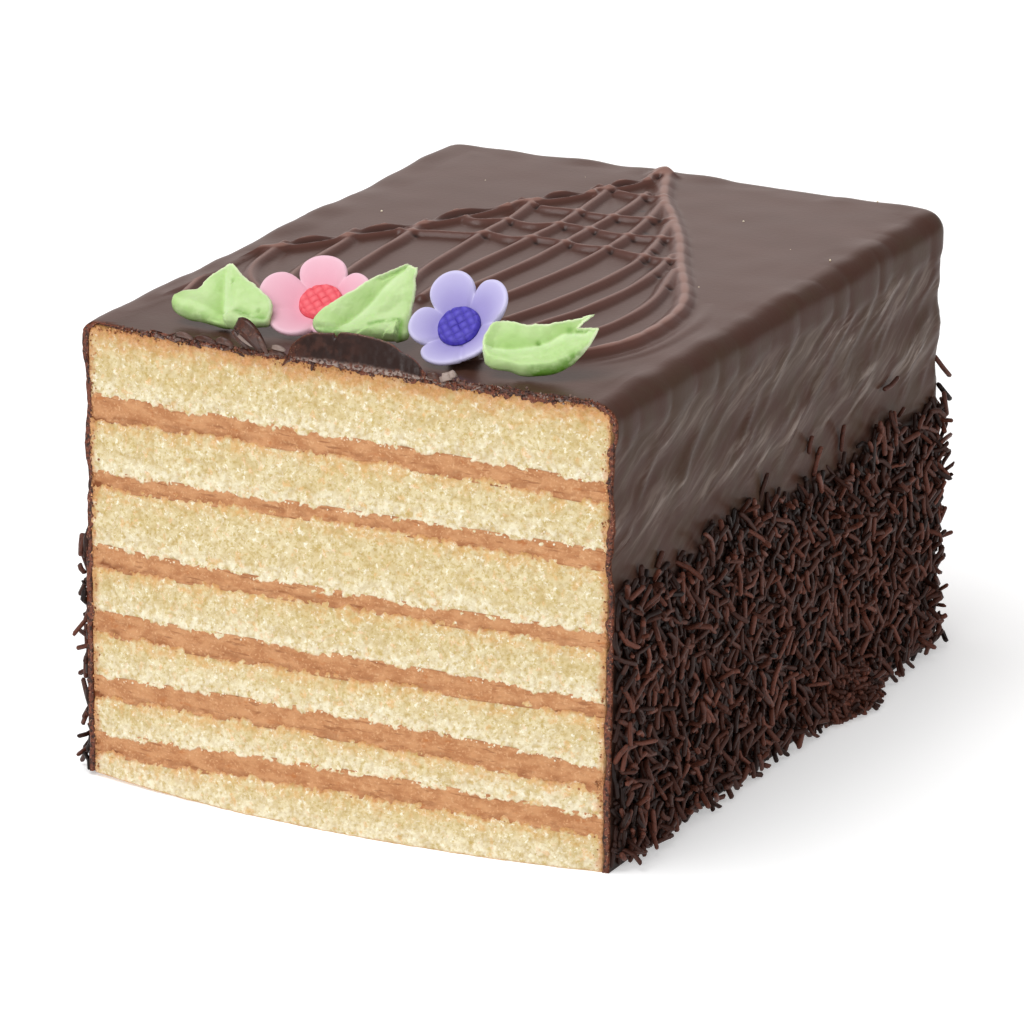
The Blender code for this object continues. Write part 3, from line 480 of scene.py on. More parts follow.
class Painter:
    """Builds the nodes of one material."""

    def __init__(self, name, roughness, specular=0.5):
        self.material = bpy.data.materials.new(name)
        self.material.use_nodes = True
        self.tree = self.material.node_tree
        self.shader = self.tree.nodes["Principled BSDF"]
        self.shader.inputs["Roughness"].default_value = roughness
        self.shader.inputs["Specular IOR Level"].default_value = specular
        self.place = self.tree.nodes.new("ShaderNodeTexCoord").outputs["Object"]

    def link(self, source, socket):
        self.tree.links.new(source, socket)

    def value(self, name):
        """A number that the mesh holds at each point."""
        node = self.tree.nodes.new("ShaderNodeAttribute")
        node.attribute_name = name
        return node.outputs["Fac"]

    def pair(self, first, second):
        """A place of two numbers that the mesh holds."""
        node = self.tree.nodes.new("ShaderNodeCombineXYZ")
        self.link(self.value(first), node.inputs["X"])
        self.link(self.value(second), node.inputs["Y"])
        return node.outputs["Vector"]

    def noise(self, size, detail=3.0, stretch=(1.0, 1.0, 1.0), roughness=0.55, place=None):
        """Noise of 0 to 1 with lumps of about this size in metres."""
        mapping = self.tree.nodes.new("ShaderNodeMapping")
        mapping.inputs["Scale"].default_value = [1.0 / (size * part) for part in stretch]
        self.link(place or self.place, mapping.inputs["Vector"])
        node = self.tree.nodes.new("ShaderNodeTexNoise")
        node.inputs["Scale"].default_value = 1.0
        node.inputs["Detail"].default_value = detail
        node.inputs["Roughness"].default_value = roughness
        self.link(mapping.outputs["Vector"], node.inputs["Vector"])
        return node.outputs["Fac"]

    def ramp(self, source, low, high):
        """source, from 0 at low to 1 at high."""
        node = self.tree.nodes.new("ShaderNodeMapRange")
        node.interpolation_type = "SMOOTHSTEP"
        node.inputs["From Min"].default_value = low
        node.inputs["From Max"].default_value = high
        self.link(source, node.inputs["Value"])
        return node.outputs["Result"]

    def between(self, source, at_zero, at_one):
        """A number between two, by source."""
        node = self.tree.nodes.new("ShaderNodeMapRange")
        node.inputs["To Min"].default_value = at_zero
        node.inputs["To Max"].default_value = at_one
        self.link(source, node.inputs["Value"])
        return node.outputs["Result"]

    def times(self, first, second):
        node = self.tree.nodes.new("ShaderNodeMath")
        node.operation = "MULTIPLY"
        for source, socket in zip((first, second), node.inputs):
            if isinstance(source, float):
                socket.default_value = source
            else:
                self.link(source, socket)
        return node.outputs["Value"]

    def mix(self, share, first, second):
        """A colour between two, each a socket or a tuple."""
        node = self.tree.nodes.new("ShaderNodeMix")
        node.data_type = "RGBA"
        self.link(share, node.inputs["Factor"])
        for colour, socket in ((first, node.inputs["A"]), (second, node.inputs["B"])):
            if isinstance(colour, tuple):
                socket.default_value = (*colour, 1.0)
            else:
                self.link(colour, socket)
        return node.outputs["Result"]

    def patches(self, under, tint, low, high, size, detail=3.0, **noise_values):
        """A colour with a tint where noise of this size rises from low to high."""
        return self.mix(self.ramp(self.noise(size, detail, **noise_values), low, high), under, tint)

    def marked(self, under, tint, name, strength=1.0):
        """A colour with a tint where the mesh's numbers of this name are high."""
        share = self.value(name)
        return self.mix(share if strength == 1.0 else self.times(share, strength), under, tint)

    def finish(self, colour, bump, depth):
        node = self.tree.nodes.new("ShaderNodeBump")
        node.inputs["Distance"].default_value = depth
        self.link(bump, node.inputs["Height"])
        self.link(node.outputs["Normal"], self.shader.inputs["Normal"])
        self.link(colour, self.shader.inputs["Base Color"])
        return self.material


def sponge_material():
    paint = Painter("sponge", 0.95, 0.15)
    colour = paint.patches(rgb(227, 214, 176), rgb(216, 198, 152), 0.35, 0.68, 0.0045)
    colour = paint.patches(colour, rgb(196, 172, 110), 0.46, 0.66, 0.0008, 4.0, roughness=0.7)
    stained = paint.times(paint.value("stain"), paint.ramp(paint.noise(0.0016, 4.0), 0.30, 0.62))
    colour = paint.mix(paint.times(stained, 0.75), colour, rgb(219, 170, 112))
    pale = paint.times(paint.value("pale"), paint.ramp(paint.noise(0.0011, 3.0), 0.38, 0.58))
    colour = paint.mix(paint.times(pale, 0.75), colour, rgb(243, 237, 214))
    colour = paint.patches(colour, rgb(247, 242, 222), 0.54, 0.66, 0.0010, 4.0, roughness=0.7)
    spots = paint.times(paint.ramp(paint.noise(0.0020, 2.0), 0.58, 0.70), paint.noise(0.0006))
    colour = paint.mix(spots, colour, rgb(224, 172, 106))
    tan = paint.patches(rgb(208, 152, 104), rgb(184, 120, 72), 0.35, 0.7, 0.0006)
    colour = paint.marked(colour, tan, "crust")
    # painted shade in the clefts between the crumb's clumps
    colour = paint.marked(colour, rgb(178, 146, 82), "cleft_shade", 0.7)
    return paint.finish(colour, paint.noise(0.0003, 2.0), 0.00025)


def filling_material():
    paint = Painter("filling", 0.6, 0.3)
    clouds = paint.ramp(paint.noise(0.0022, 5.0, (1.8, 1.8, 1.0), 0.65), 0.36, 0.66)
    colour = paint.mix(clouds, rgb(199, 145, 100), rgb(174, 116, 73))
    colour = paint.patches(colour, rgb(213, 166, 122), 0.52, 0.76, 0.0006)
    # thin dark lines: painted shade in fine fissures
    fissure_shade = paint.ramp(paint.noise(0.0009, 3.0, (7.0, 7.0, 1.0), 0.6), 0.60, 0.68)
    colour = paint.mix(paint.times(fissure_shade, 0.65), colour, rgb(140, 84, 48))
    burnt = paint.ramp(paint.noise(0.0018, 3.0, (2.0, 2.0, 1.0)), 0.60, 0.74)
    colour = paint.mix(paint.times(burnt, 0.8), colour, rgb(178, 108, 56))
    # dark brown: caramel at the left end, and painted shadow of the gap along each filling's lower edge
    colour = paint.marked(colour, rgb(128, 70, 32), "burnt")
    return paint.finish(colour, paint.noise(0.0009, 4.0), 0.0004)


def glaze_material():
    """Top and net brown, walls greyer, painted darker as shade, less shiny and with painted highlight
    streaks along the runs, cut edge rough.
    """
    paint = Painter("glaze", 0.32)
    colour = paint.mix(paint.noise(0.012, 4.0), rgb(80, 49, 40), rgb(68, 42, 34))
    # the walls are painted darker and greyer than the top as shade; the same mask makes them less shiny
    walls = paint.patches(rgb(69, 46, 38), rgb(70, 53, 42), 0.38, 0.66, 0.007)
    colour = paint.marked(colour, walls, "wall_shade", 0.9)
    colour = paint.mix(paint.ramp(paint.value("net"), 0.05, 0.6), colour, rgb(88, 55, 47))
    # painted highlight along the crests of the net's ropes
    colour = paint.mix(paint.ramp(paint.value("net"), 0.66, 0.95), colour, rgb(138, 103, 93))

    # painted highlights on the walls: a broad painted sheen over the bands of folds and thin painted
    # highlight streaks along the runs
    place, band = paint.pair("run_along", "run_over"), paint.value("band")
    runs = paint.noise(MM, 2.0, (20.0, 3.6, 1.0), 0.5, place)
    fibres = paint.noise(MM, 3.0, (13.0, 1.9, 1.0), 0.55, place)
    broad_sheen = paint.times(paint.ramp(runs, 0.42, 0.66), band)
    colour = paint.mix(paint.times(broad_sheen, 0.28), colour, rgb(112, 97, 88))
    near_fold = paint.between(paint.value("fold"), 0.30, 1.0)
    clusters = paint.between(paint.ramp(runs, 0.38, 0.58), 0.25, 1.0)
    highlight_streaks = paint.times(paint.ramp(fibres, 0.45, 0.64), band)
    highlight_streaks = paint.times(highlight_streaks, paint.times(clusters, near_fold))
    colour = paint.mix(paint.times(highlight_streaks, 0.78), colour, rgb(150, 136, 127))

    # painted glints on the lip's granular foot, the flakes, scraps, grains and chunks
    colour = paint.marked(colour, rgb(158, 140, 131), "glint", 0.85)
    # painted shade: behind the sprinkles, in the hollows of the loops, on the lip's face and on the flakes
    colour = paint.marked(colour, rgb(32, 19, 16), "dark", 0.8)
    # painted shade in the small holes of the net
    colour = paint.marked(colour, rgb(16, 8, 7), "hole_shade")
    rough_cut = paint.patches(rgb(112, 58, 38), rgb(36, 18, 14), 0.4, 0.65, 0.0007)
    rough_cut = paint.patches(rough_cut, rgb(168, 124, 98), 0.60, 0.70, 0.0004, 2.0)
    colour = paint.marked(colour, rough_cut, "cut")
    shine = paint.between(paint.value("wall_shade"), 0.30, 0.045)
    paint.link(shine, paint.shader.inputs["Specular IOR Level"])
    fine = paint.between(paint.noise(0.0010, 4.0), 0.0, 0.15)
    return paint.finish(colour, paint.mix(band, fine, paint.mix(highlight_streaks, runs, fibres)), 0.00020)


def sprinkle_material():
    paint = Painter("sprinkle", 0.45, 0.20)
    # tone also carries painted shade on the inner layer of sprinkles
    colour = paint.marked(rgb(20, 8, 5), rgb(110, 62, 48), "tone")
    colour = paint.patches(colour, rgb(26, 12, 9), 0.5, 0.8, 0.0006)
    return paint.finish(colour, paint.noise(0.0004, 2.0), 0.00006)


def crumb_material():
    paint = Painter("crumb", 0.9, 0.15)
    colour = paint.marked(rgb(112, 60, 36), rgb(212, 158, 110), "tone")
    colour = paint.marked(colour, rgb(244, 237, 214), "cream")
    return paint.finish(colour, paint.noise(0.0003, 2.0), 0.0001)


def sugar_material(name, body, rim, shade):
    paint = Painter(name, 0.6, 0.25)
    colour = paint.mix(paint.noise(0.004, 3.0), body, shade)
    colour = paint.marked(colour, rim, "rim", 0.9)
    return paint.finish(colour, paint.noise(0.0003, 3.0), 0.00003)


def button_material(name, ridge, groove):
    paint = Painter(name, 0.5, 0.3)
    # painted shade in the weave's grooves and on the button's side
    colour = paint.marked(ridge, groove, "groove")
    return paint.finish(colour, paint.noise(0.0003, 3.0), 0.00003)


def leaf_material():
    paint = Painter("leaf_icing", 0.5, 0.3)
    paint.shader.inputs["Subsurface Weight"].default_value = 0.15
    paint.shader.inputs["Subsurface Radius"].default_value = (0.5, 1.0, 0.3)
    paint.shader.inputs["Subsurface Scale"].default_value = 0.001
    colour = paint.patches(rgb(188, 213, 152), rgb(174, 205, 134), 0.3, 0.7, 0.005)
    # painted shade and painted light on the flanks of the leaf's folds
    colour = paint.marked(colour, rgb(152, 190, 102), "flank_shade")
    colour = paint.marked(colour, rgb(216, 233, 192), "pale")
    colour = paint.marked(colour, rgb(220, 232, 192), "edge")
    uneven = paint.ramp(paint.noise(0.0022, 3.0), 0.25, 0.6)
    # painted shade in an uneven deeper green
    colour = paint.mix(paint.times(paint.value("deep"), uneven), colour, rgb(98, 150, 40))
    return paint.finish(colour, paint.noise(0.0014, 3.0), 0.00010)


# Layers


def through_three(values, across):
    left, middle, right = values
    return middle + (right - left) / 2.0 * across + ((left + right) / 2.0 - middle) * across**2


def filling_faces(number, x, y):
    """Heights of the under and upper face of a filling, counted from the top."""
    heights, thicknesses = FILLINGS[number]
    across, back = side_share(x), back_share(y)
    start = 2.0 * number + 2.0 * across
    middle = through_three(heights, across) + LAYER_WAVE * (np.sin(5.0 * back + start) - np.sin(start))
    half = through_three(thicknesses, across) / 2.0
    return middle - half, middle + half


def ragged(x, amount, size, seed):
    """How far an edge between two layers wanders up or down."""
    points = np.column_stack((x, np.full_like(x, seed), np.zeros_like(x)))
    return amount * grain(points, size, 4, 0.37 * seed, 0.4)


def top_drop(x, y):
    """How far the rounded top edges fall at a place, under the glaze."""
    reach = np.clip((y - DEPTH / 2 + BACK_TOP_RADIUS) / BACK_TOP_RADIUS, 0.0, 1.0)
    drop = np.full_like(x, BACK_TOP_RADIUS * (1.0 - math.sqrt(1.0 - reach**2)))
    for side, radius in ((-1.0, LEFT_TOP_RADIUS), (1.0, RIGHT_TOP_RADIUS)):
        inner = radius - LAYER_INSET
        reach = np.clip((side * x - (WIDTH / 2 - radius)) / inner, 0.0, 1.0)
        drop += inner * (1.0 - np.sqrt(1.0 - reach**2))
    return drop


def cut_slab(name, under, upper, cell, front_relief, material):
    """A slab through the whole cake with a fine face where it is cut. under and upper give heights for
    x and y, front_relief how far points of the cut face stand out, and the numbers for the material."""
    half = WIDTH / 2 - LAYER_INSET
    columns = round(2 * half / cell) + 1
    thickness = float((upper(np.zeros(1), FRONT) - under(np.zeros(1), FRONT))[0])
    rows = max(8, round(thickness / cell)) + 1
    across, share = np.meshgrid(np.linspace(-half, half, columns), np.linspace(0.0, 1.0, rows))
    across, share = across.ravel(), share.ravel()
    low, high = under(across, FRONT), upper(across, FRONT)
    front = np.column_stack((across, np.full_like(across, FRONT), low + (high - low) * share))
    relief, values = front_relief(front, high - front[:, 2], front[:, 2] - low)
    points = [settle(front) - np.column_stack((np.zeros_like(relief), relief, np.zeros_like(relief)))]
    index = np.arange(rows * columns).reshape(rows, columns)
    faces = sheet_faces(index)

    border = round_edge(index)[:-1]
    before = border
    for y in (FRONT + 3 * MM, FRONT / 3, DEPTH / 6, DEPTH / 2 - 5 * MM, LAYER_BACK):
        narrowing = BACK_NARROWING if y == LAYER_BACK else 1.0
        x, part = across[border] * narrowing, share[border]
        low, high = under(x, y), upper(x, y)
        points.append(settle(np.column_stack((x, np.full_like(x, y), low + (high - low) * part))))
        ring = np.arange(len(border)) + rows * columns + len(border) * (len(points) - 2)
        loop = np.column_stack((np.append(before, before[0]), np.append(ring, ring[0])))
        faces += sheet_faces(loop)
        before = ring
    faces.append(before[::-1].tolist())
    points = np.concatenate(points)
    spare = len(points) - rows * columns
    values = {key: np.append(numbers, np.full(spare, BEHIND_CUT)) for key, numbers in values.items()}
    return mesh_object(name, points, faces, material, **values)


def sponge_relief(number):
    """Relief of a sponge's cut face: fine clumps with clefts between, rounded off at its edges."""

    def relief(points, below_top, above_under):
        fine = lumps(points, 0.8 * MM, 3.1 * number)
        coarse = lumps(points, 2.0 * MM, 1.7 * number)
        swell = grain(points, 5.0 * MM, 3, 2.3 * number)
        edge = np.minimum(below_top, above_under)
        # painted shade: how deep each place lies in the clefts between the clumps
        cleft_shade = np.clip(0.9 * (fine - 0.35) + 0.9 * (coarse - 0.45), 0.0, 1.0)
        out = 0.22 * (0.5 - fine) + 0.30 * (0.5 - coarse) + 0.20 * swell - 0.16 * np.exp(-edge / (0.35 * MM))
        wander = 0.35 * grain(points, 3.0 * MM, 3, 5.0 * number) + 0.2 * grain(points, 1.0 * MM, 2, 7.0)
        if number == 0:
            crust = 0.80 * smooth_step(1.2 - below_top / (4.2 * MM) + wander)
            crust = np.maximum(crust, smooth_step(1.1 - below_top / (2.2 * MM) + wander))
        else:
            crust = 0.85 * smooth_step(1.1 - below_top / (0.9 * MM) + 1.3 * wander)
        crust = np.maximum(crust, 0.75 * smooth_step(0.9 - above_under / (0.5 * MM) + wander))
        from_side = WIDTH / 2 - LAYER_INSET - np.abs(points[:, 0])
        crust = np.maximum(crust, 0.8 * smooth_step(1.1 - from_side / (1.6 * MM) + 1.5 * wander))
        stain = smooth_step(1.25 - below_top / ((6.0 if number == 0 else 3.4) * MM) + 1.2 * wander)
        pale = smooth_step(1.3 - above_under / (4.5 * MM) + 1.2 * wander)
        return out * MM, {"cleft_shade": cleft_shade, "crust": crust, "stain": stain, "pale": pale}

    return relief


def filling_relief(number):
    """Relief of a filling's cut face: smeared along it, a little behind the sponge."""

    def relief(points, _, above_under):
        smear = grain(points, (5.0 * MM, 5.0 * MM, 1.4 * MM), 4, 4.0 * number)
        fine = grain(points, 0.8 * MM, 2, 9.0)
        broken = grain(points, (4.0 * MM, 4.0 * MM, 1.2 * MM), 3, 6.0 * number)
        # along the lower edge a broken dark line: painted shadow of the gap over the sponge below, strongest
        # as caramel at the left end
        burnt = smooth_step(1.35 - (above_under - 0.9 * MM) / (0.55 * MM) + 1.6 * broken)
        left_end = smooth_step((-points[:, 0] - 49.0 * MM) / (9.0 * MM))
        burnt = np.clip(burnt * (0.35 + 0.9 * left_end) * smooth_step(0.45 + 2.0 * broken), 0.0, 1.0)
        return (0.22 * smear + 0.08 * fine - 0.08 - 0.2 * burnt) * MM, {"burnt": burnt}

    return relief


def make_layers(materials):
    """Fillings a little thicker than they show, between sponges whose rough edges cover theirs."""
    overlap = 0.9 * MM
    last = len(FILLINGS)
    for number in range(last):
        def under(x, y, n=number):
            return filling_faces(n, x, y)[0] - overlap

        def upper(x, y, n=number):
            return filling_faces(n, x, y)[1] + overlap

        name, relief = f"cream_{number + 1}", filling_relief(number)
        piece = cut_slab(name, under, upper, FILLING_CELL, relief, materials["filling"])
        dress(piece, "filling", f"filling_{number + 1}")
    for number in range(last + 1):
        def under(x, y, n=number):
            if n == last:
                return np.zeros_like(x)
            rough = ragged(x, 0.7 * MM, 5.0 * MM, 3.0 + n) + ragged(x, 0.3 * MM, 1.2 * MM, 13.0 + n)
            return filling_faces(n, x, y)[1] + rough

        def upper(x, y, n=number):
            if n == 0:
                return HEIGHT - 0.55 * MM - top_drop(x, y)
            rough = ragged(x, 0.7 * MM, 4.0 * MM, 23.0 + n) + ragged(x, 0.4 * MM, 1.3 * MM, 33.0 + n)
            return filling_faces(n - 1, x, y)[0] + rough

        name, relief = f"crumb_{number + 1}", sponge_relief(number)
        piece = cut_slab(name, under, upper, SPONGE_CELL, relief, materials["sponge"])
        dress(piece, "sponge", f"sponge_{number + 1}")


# Piped net as heights over the glaze


def through_points(points, steps):
    """A smooth run through the points, with so many steps between each two."""
    knots = [np.array(point) for point in points]
    knots = [2 * knots[0] - knots[1], *knots, 2 * knots[-1] - knots[-2]]
    run = []
    for before, start, end, after in zip(knots, knots[1:], knots[2:], knots[3:]):
        for step in range(steps):
            t = step / steps
            run.append(0.5 * (
                2 * start
                + (end - before) * t
                + (2 * before - 5 * start + 4 * end - after) * t**2
                + (3 * start - before - 3 * end + after) * t**3
            ))
    run.append(knots[-2])
    return np.array(run)


def nearest_on(route, x, y):
    """For each place, its distance from a route and how far along the route it is nearest."""
    best = np.full(x.shape, np.inf)
    along = np.zeros(x.shape)
    travelled = 0.0
    for start, end in zip(route, route[1:]):
        run = end - start
        length = math.hypot(*run)
        share = np.clip(((x - start[0]) * run[0] + (y - start[1]) * run[1]) / length**2, 0.0, 1.0)
        distance = np.hypot(x - start[0] - share * run[0], y - start[1] - share * run[1])
        closer = distance < best
        best = np.where(closer, distance, best)
        along = np.where(closer, travelled + share * length, along)
        travelled += length
    return best, along


def rope(distance, half_width, height):
    """Height of a soft rope of glaze at a distance from its middle."""
    across = np.clip(distance / half_width, 0.0, 1.0)
    return height * (0.5 + 0.5 * np.cos(math.pi * across)) ** 0.9


def crossing_holes():
    """Small holes in front of and to the right of the places where strands cross."""
    holes = []
    for cross in CROSS_STRANDS:
        across = through_points(cross, 12)
        for route in LONG_STRANDS:
            along = through_points(route, 12)
            gaps = np.hypot(*(along[:, None, :] - across[None, :, :]).transpose(2, 0, 1))
            if gaps.min() < 0.6:
                x, y = across[np.unravel_index(gaps.argmin(), gaps.shape)[1]]
                holes.append((x + HOLE_SHIFT[0], y + HOLE_SHIFT[1]))
    return holes


def loop_arc(start, end, bulge):
    """The rope of a loop from start to end, standing out to the left by its bulge."""
    run = np.subtract(end, start)
    out = np.array((-run[1], run[0])) / math.hypot(*run)
    return through_points((start, np.add(start, end) / 2.0 + bulge * out, end), 6)


def hollow_in_loop(start, end, bulge, x, y):
    """How much each place lies in the lens between a loop's two ropes."""
    run = np.subtract(end, start)
    length = math.hypot(*run)
    run = run / length
    middle = np.add(start, end) / 2.0 + 0.42 * bulge * np.array((-run[1], run[0]))
    along = (x - middle[0]) * run[0] + (y - middle[1]) * run[1]
    over = (y - middle[1]) * run[0] - (x - middle[0]) * run[1]
    reach = np.hypot(along / (0.42 * length), over / (0.50 * bulge))
    return smooth_step(1.35 - reach)


def net_height(x, y):
    """Height of the piped net over the glaze, how deep each place lies in a small hole, and how much in
    the hollow of a loop."""
    x, y = x / MM, y / MM
    strands = []
    hollow = np.zeros(x.shape)
    for start, end, bulge in LEFT_LOOPS:
        distance, _ = nearest_on(loop_arc(start, end, bulge), x, y)
        strands.append(rope(distance, *LOOP_ROPE))
        if bulge > WIDE_LOOP:
            distance, _ = nearest_on(loop_arc(start, end, INNER_BULGE), x, y)
            strands.append(rope(distance, *INNER_ROPE))
            hollow = np.maximum(hollow, hollow_in_loop(start, end, bulge, x, y))
    distance, along = nearest_on(through_points(RIGHT_ROPE, 6), x, y)
    beat = np.abs(np.sin(math.pi * (along / 7.4 + 0.4)))
    strands.append(rope(distance, 2.9 + 0.2 * beat, 1.40 + 0.12 * beat))
    for routes, half_width, height, swing, pace, shift in STRAND_KINDS:
        for number, route in enumerate(routes):
            distance, along = nearest_on(through_points(route, 5), x, y)
            waver = 1.0 + swing * np.sin(along / pace + shift * number)
            strands.append(rope(distance, half_width * waver, height))
    distance, along = nearest_on(through_points(FAINT_RING, 4), x, y)
    strands.append(rope(distance, *FAINT_ROPE) * np.sin(math.pi * along / along.max()) ** 0.7)
    strands.append(rope(np.hypot((x - TIP[0]) / 1.35, (y - TIP[1]) / 1.5), *TIP_BLOB))
    height = sum(part**4 for part in strands) ** 0.25
    hole = np.zeros(x.shape)
    for hole_x, hole_y in (*ROPE_HOLES, *crossing_holes()):
        hole = np.maximum(hole, bell(np.hypot(x - hole_x, (y - hole_y) / 1.3) / HOLE_RADIUS))
    return height * (1.0 - 0.7 * hole) * (1.0 - 0.75 * hollow) * MM, hole, hollow


# Glaze


def coat_edge(x, y):
    """Height at which the sprinkles end."""
    side = side_share(x)
    turn = 2.0 * math.pi * (y - COAT_TOP_CREST) / COAT_TOP_WAVE + 1.2 * (1.0 - side)
    return COAT_TOP + COAT_TOP_LEAN * side - COAT_TOP_FALL * y + COAT_TOP_WANDER * np.cos(turn)


def wall_places(distances):
    """Points of the walls' plan so far along from the left front, round the back, to the right front,
    with the outward direction, the radius of the top edge and a place that counts corners."""
    radius = BACK_CORNER_RADIUS
    side, bend, back = DEPTH - radius, math.pi / 2 * radius, WIDTH - 2 * radius
    spots, ways, tops, counts = [], [], [], []
    for distance in distances:
        if distance < side:
            spot, way, count = (-WIDTH / 2, FRONT + distance), (-1.0, 0.0), distance / side
        elif distance < side + bend:
            angle = math.pi - (distance - side) / radius
            way, count = (math.cos(angle), math.sin(angle)), 1.0
            spot = (-WIDTH / 2 + radius + radius * way[0], DEPTH / 2 - radius + radius * way[1])
        elif distance < side + bend + back:
            run = distance - side - bend
            spot, way, count = (-WIDTH / 2 + radius + run, DEPTH / 2), (0.0, 1.0), 1.0 + run / back
        elif distance < side + 2 * bend + back:
            angle = math.pi / 2 - (distance - side - bend - back) / radius
            way, count = (math.cos(angle), math.sin(angle)), 2.0
            spot = (WIDTH / 2 - radius + radius * way[0], DEPTH / 2 - radius + radius * way[1])
        else:
            run = distance - side - 2 * bend - back
            spot, way, count = (WIDTH / 2, DEPTH / 2 - radius - run), (1.0, 0.0), 2.0 + run / side
        sideways = max(0.0, -way[0]) ** 2
        tops.append(BACK_TOP_RADIUS + (LEFT_TOP_RADIUS - BACK_TOP_RADIUS) * sideways)
        spots.append(spot)
        ways.append(way)
        counts.append(count)
    return np.array(spots), np.array(ways), np.array(tops), np.array(counts)


def wall_length():
    return 2 * (DEPTH - BACK_CORNER_RADIUS) + math.pi * BACK_CORNER_RADIUS + WIDTH - 2 * BACK_CORNER_RADIUS


def wall_folds(distance, z):
    """How much each place lies on one of the slanting folds where the glaze ran down the walls."""
    draw = random.Random(FOLD_SEED)
    folds = np.zeros_like(z)
    for _ in range(FOLD_COUNT):
        middle = draw.uniform(0.0, wall_length())
        height = draw.choice([draw.gauss(*band) for band in FOLD_HEIGHTS]) * MM
        half_length = draw.uniform(6.0, 14.0) * MM
        half_width = draw.uniform(1.0, 2.0) * MM
        slope = math.radians(draw.gauss(FOLD_SLOPE, 6.0))
        bend = draw.uniform(-2.0, 2.0) * MM
        strength = draw.uniform(0.3, 1.0)
        near = np.abs(distance - middle) < half_length + 3.0 * MM
        run, rise = distance[near] - middle, z[near] - height
        along = (run * math.cos(slope) - rise * math.sin(slope)) / half_length
        over = run * math.sin(slope) + rise * math.cos(slope) + bend * np.sin(1.5 * along)
        side = np.where(over > 0.0, half_width, 0.55 * half_width)
        fold = strength * bell(over / side) * smooth_step(1.5 - 1.5 * np.abs(along))
        folds[near] = np.maximum(folds[near], fold)
    return folds


def wall_runs(distance, z):
    """Places along and over the slanting runs of the glaze, gently bent."""
    slope = math.radians(FOLD_SLOPE)
    bend = 1.2 * MM * grain(np.column_stack((distance, z, 0 * z)), (14.0 * MM, 9.0 * MM, 1.0), 2, 2.0)
    return (
        distance * math.cos(slope) - z * math.sin(slope),
        distance * math.sin(slope) + z * math.cos(slope) + bend,
    )


def wall_relief(distance, z):
    """How far the wall stands out above the sprinkles, and how much each place lies on a fold and in a band
    of folds: a soft shoulder ends in round drips, and the wall bulges at the sponges below it."""
    line = np.column_stack((distance, 0 * z, 0 * z))
    wander = 1.6 * MM * grain(line, 26.0 * MM, 2)
    level = z + wander
    drips = np.abs(np.sin(math.pi * distance / (12.5 * MM) + 4.0 * grain(line, 24.0 * MM, 2, 3.0)))
    shoulder = smooth_step((level - SHOULDER_Z - 1.8 * MM * (1.0 - drips)) / (3.0 * MM))
    bands = (0.50 + 0.18 * drips) * shoulder
    for height, half_height, out in WALL_BULGES:
        bands += out * bell((level - height * MM) / (half_height * MM))
    fade = smooth_step((z - 48.0 * MM) / (6.0 * MM))
    folds = wall_folds(distance, level) * fade * (1.0 - shoulder)
    gather = sum(bell((level - height * MM) / (half_height * MM)) for height, half_height in FOLD_BANDS)
    band = np.clip(gather, 0.35, 1.0) * fade * (1.0 - shoulder)
    return (bands * fade + 0.50 * folds) * MM, folds, band


def glaze_walls():
    """Walls and rounded top edges, in columns from the left front round the back to the right front: points
    and their numbers, each column's place that counts corners, which way each row of a column faces, to the
    side and up, and the values for the material."""
    total_length = wall_length()
    right_back = total_length - DEPTH
    left_columns, back_columns, right_columns = WALL_COLUMNS
    distances = np.concatenate((
        np.linspace(0.0, DEPTH, left_columns)[:-1],
        np.linspace(DEPTH, right_back, back_columns)[:-1],
        np.linspace(right_back, total_length, right_columns),
    ))
    spots, ways, tops, counts = wall_places(distances)
    heights = np.concatenate((np.linspace(0.0, 48.0, 15), np.linspace(49.0, 100.0, 62)[:-9])) * MM
    rows = [np.column_stack((spots, z / heights[-1] * (HEIGHT - tops))) for z in heights]
    facing = [(1.0, 0.0)] * len(rows)
    for angle in np.linspace(0.0, math.pi / 2, 10)[1:]:
        plan = spots - ways * (tops * (1.0 - math.cos(angle)))[:, None]
        rows.append(np.column_stack((plan, HEIGHT - tops + tops * math.sin(angle))))
        facing.append((math.cos(angle), math.sin(angle)))
    inset = BACK_CORNER_RADIUS - 0.2 * MM
    rows.append(np.column_stack((spots - ways * inset, np.full(len(spots), HEIGHT))))
    facing.append((0.0, 1.0))

    points = np.stack(rows, axis=1).reshape(-1, 3)
    index = np.arange(len(points)).reshape(len(distances), len(rows))
    distance, z = np.repeat(distances, len(rows)), points[:, 2]
    sideways = np.tile([side for side, _ in facing], len(distances))
    edge = coat_edge(points[:, 0], points[:, 1])
    coat = COAT_BASE * smooth_step((edge - z) / (1.5 * MM))
    relief, folds, band = wall_relief(distance, z)
    run_along, run_over = wall_runs(distance, z)
    points[:, :2] += np.repeat(ways, len(rows), axis=0) * ((coat + relief) * sideways)[:, None]
    values = {
        # painted shade on the glaze behind the sprinkle coat
        "dark": smooth_step((edge - z) / (4.0 * MM)),
        # painted shade: the walls take a darker, greyer colour than the top, and less shine
        "wall_shade": sideways,
        # fold and band also set where the painted highlight streaks and sheen lie
        "fold": folds,
        "band": band,
        "run_along": run_along,
        "run_over": run_over,
    }
    return points, index, counts, facing, values


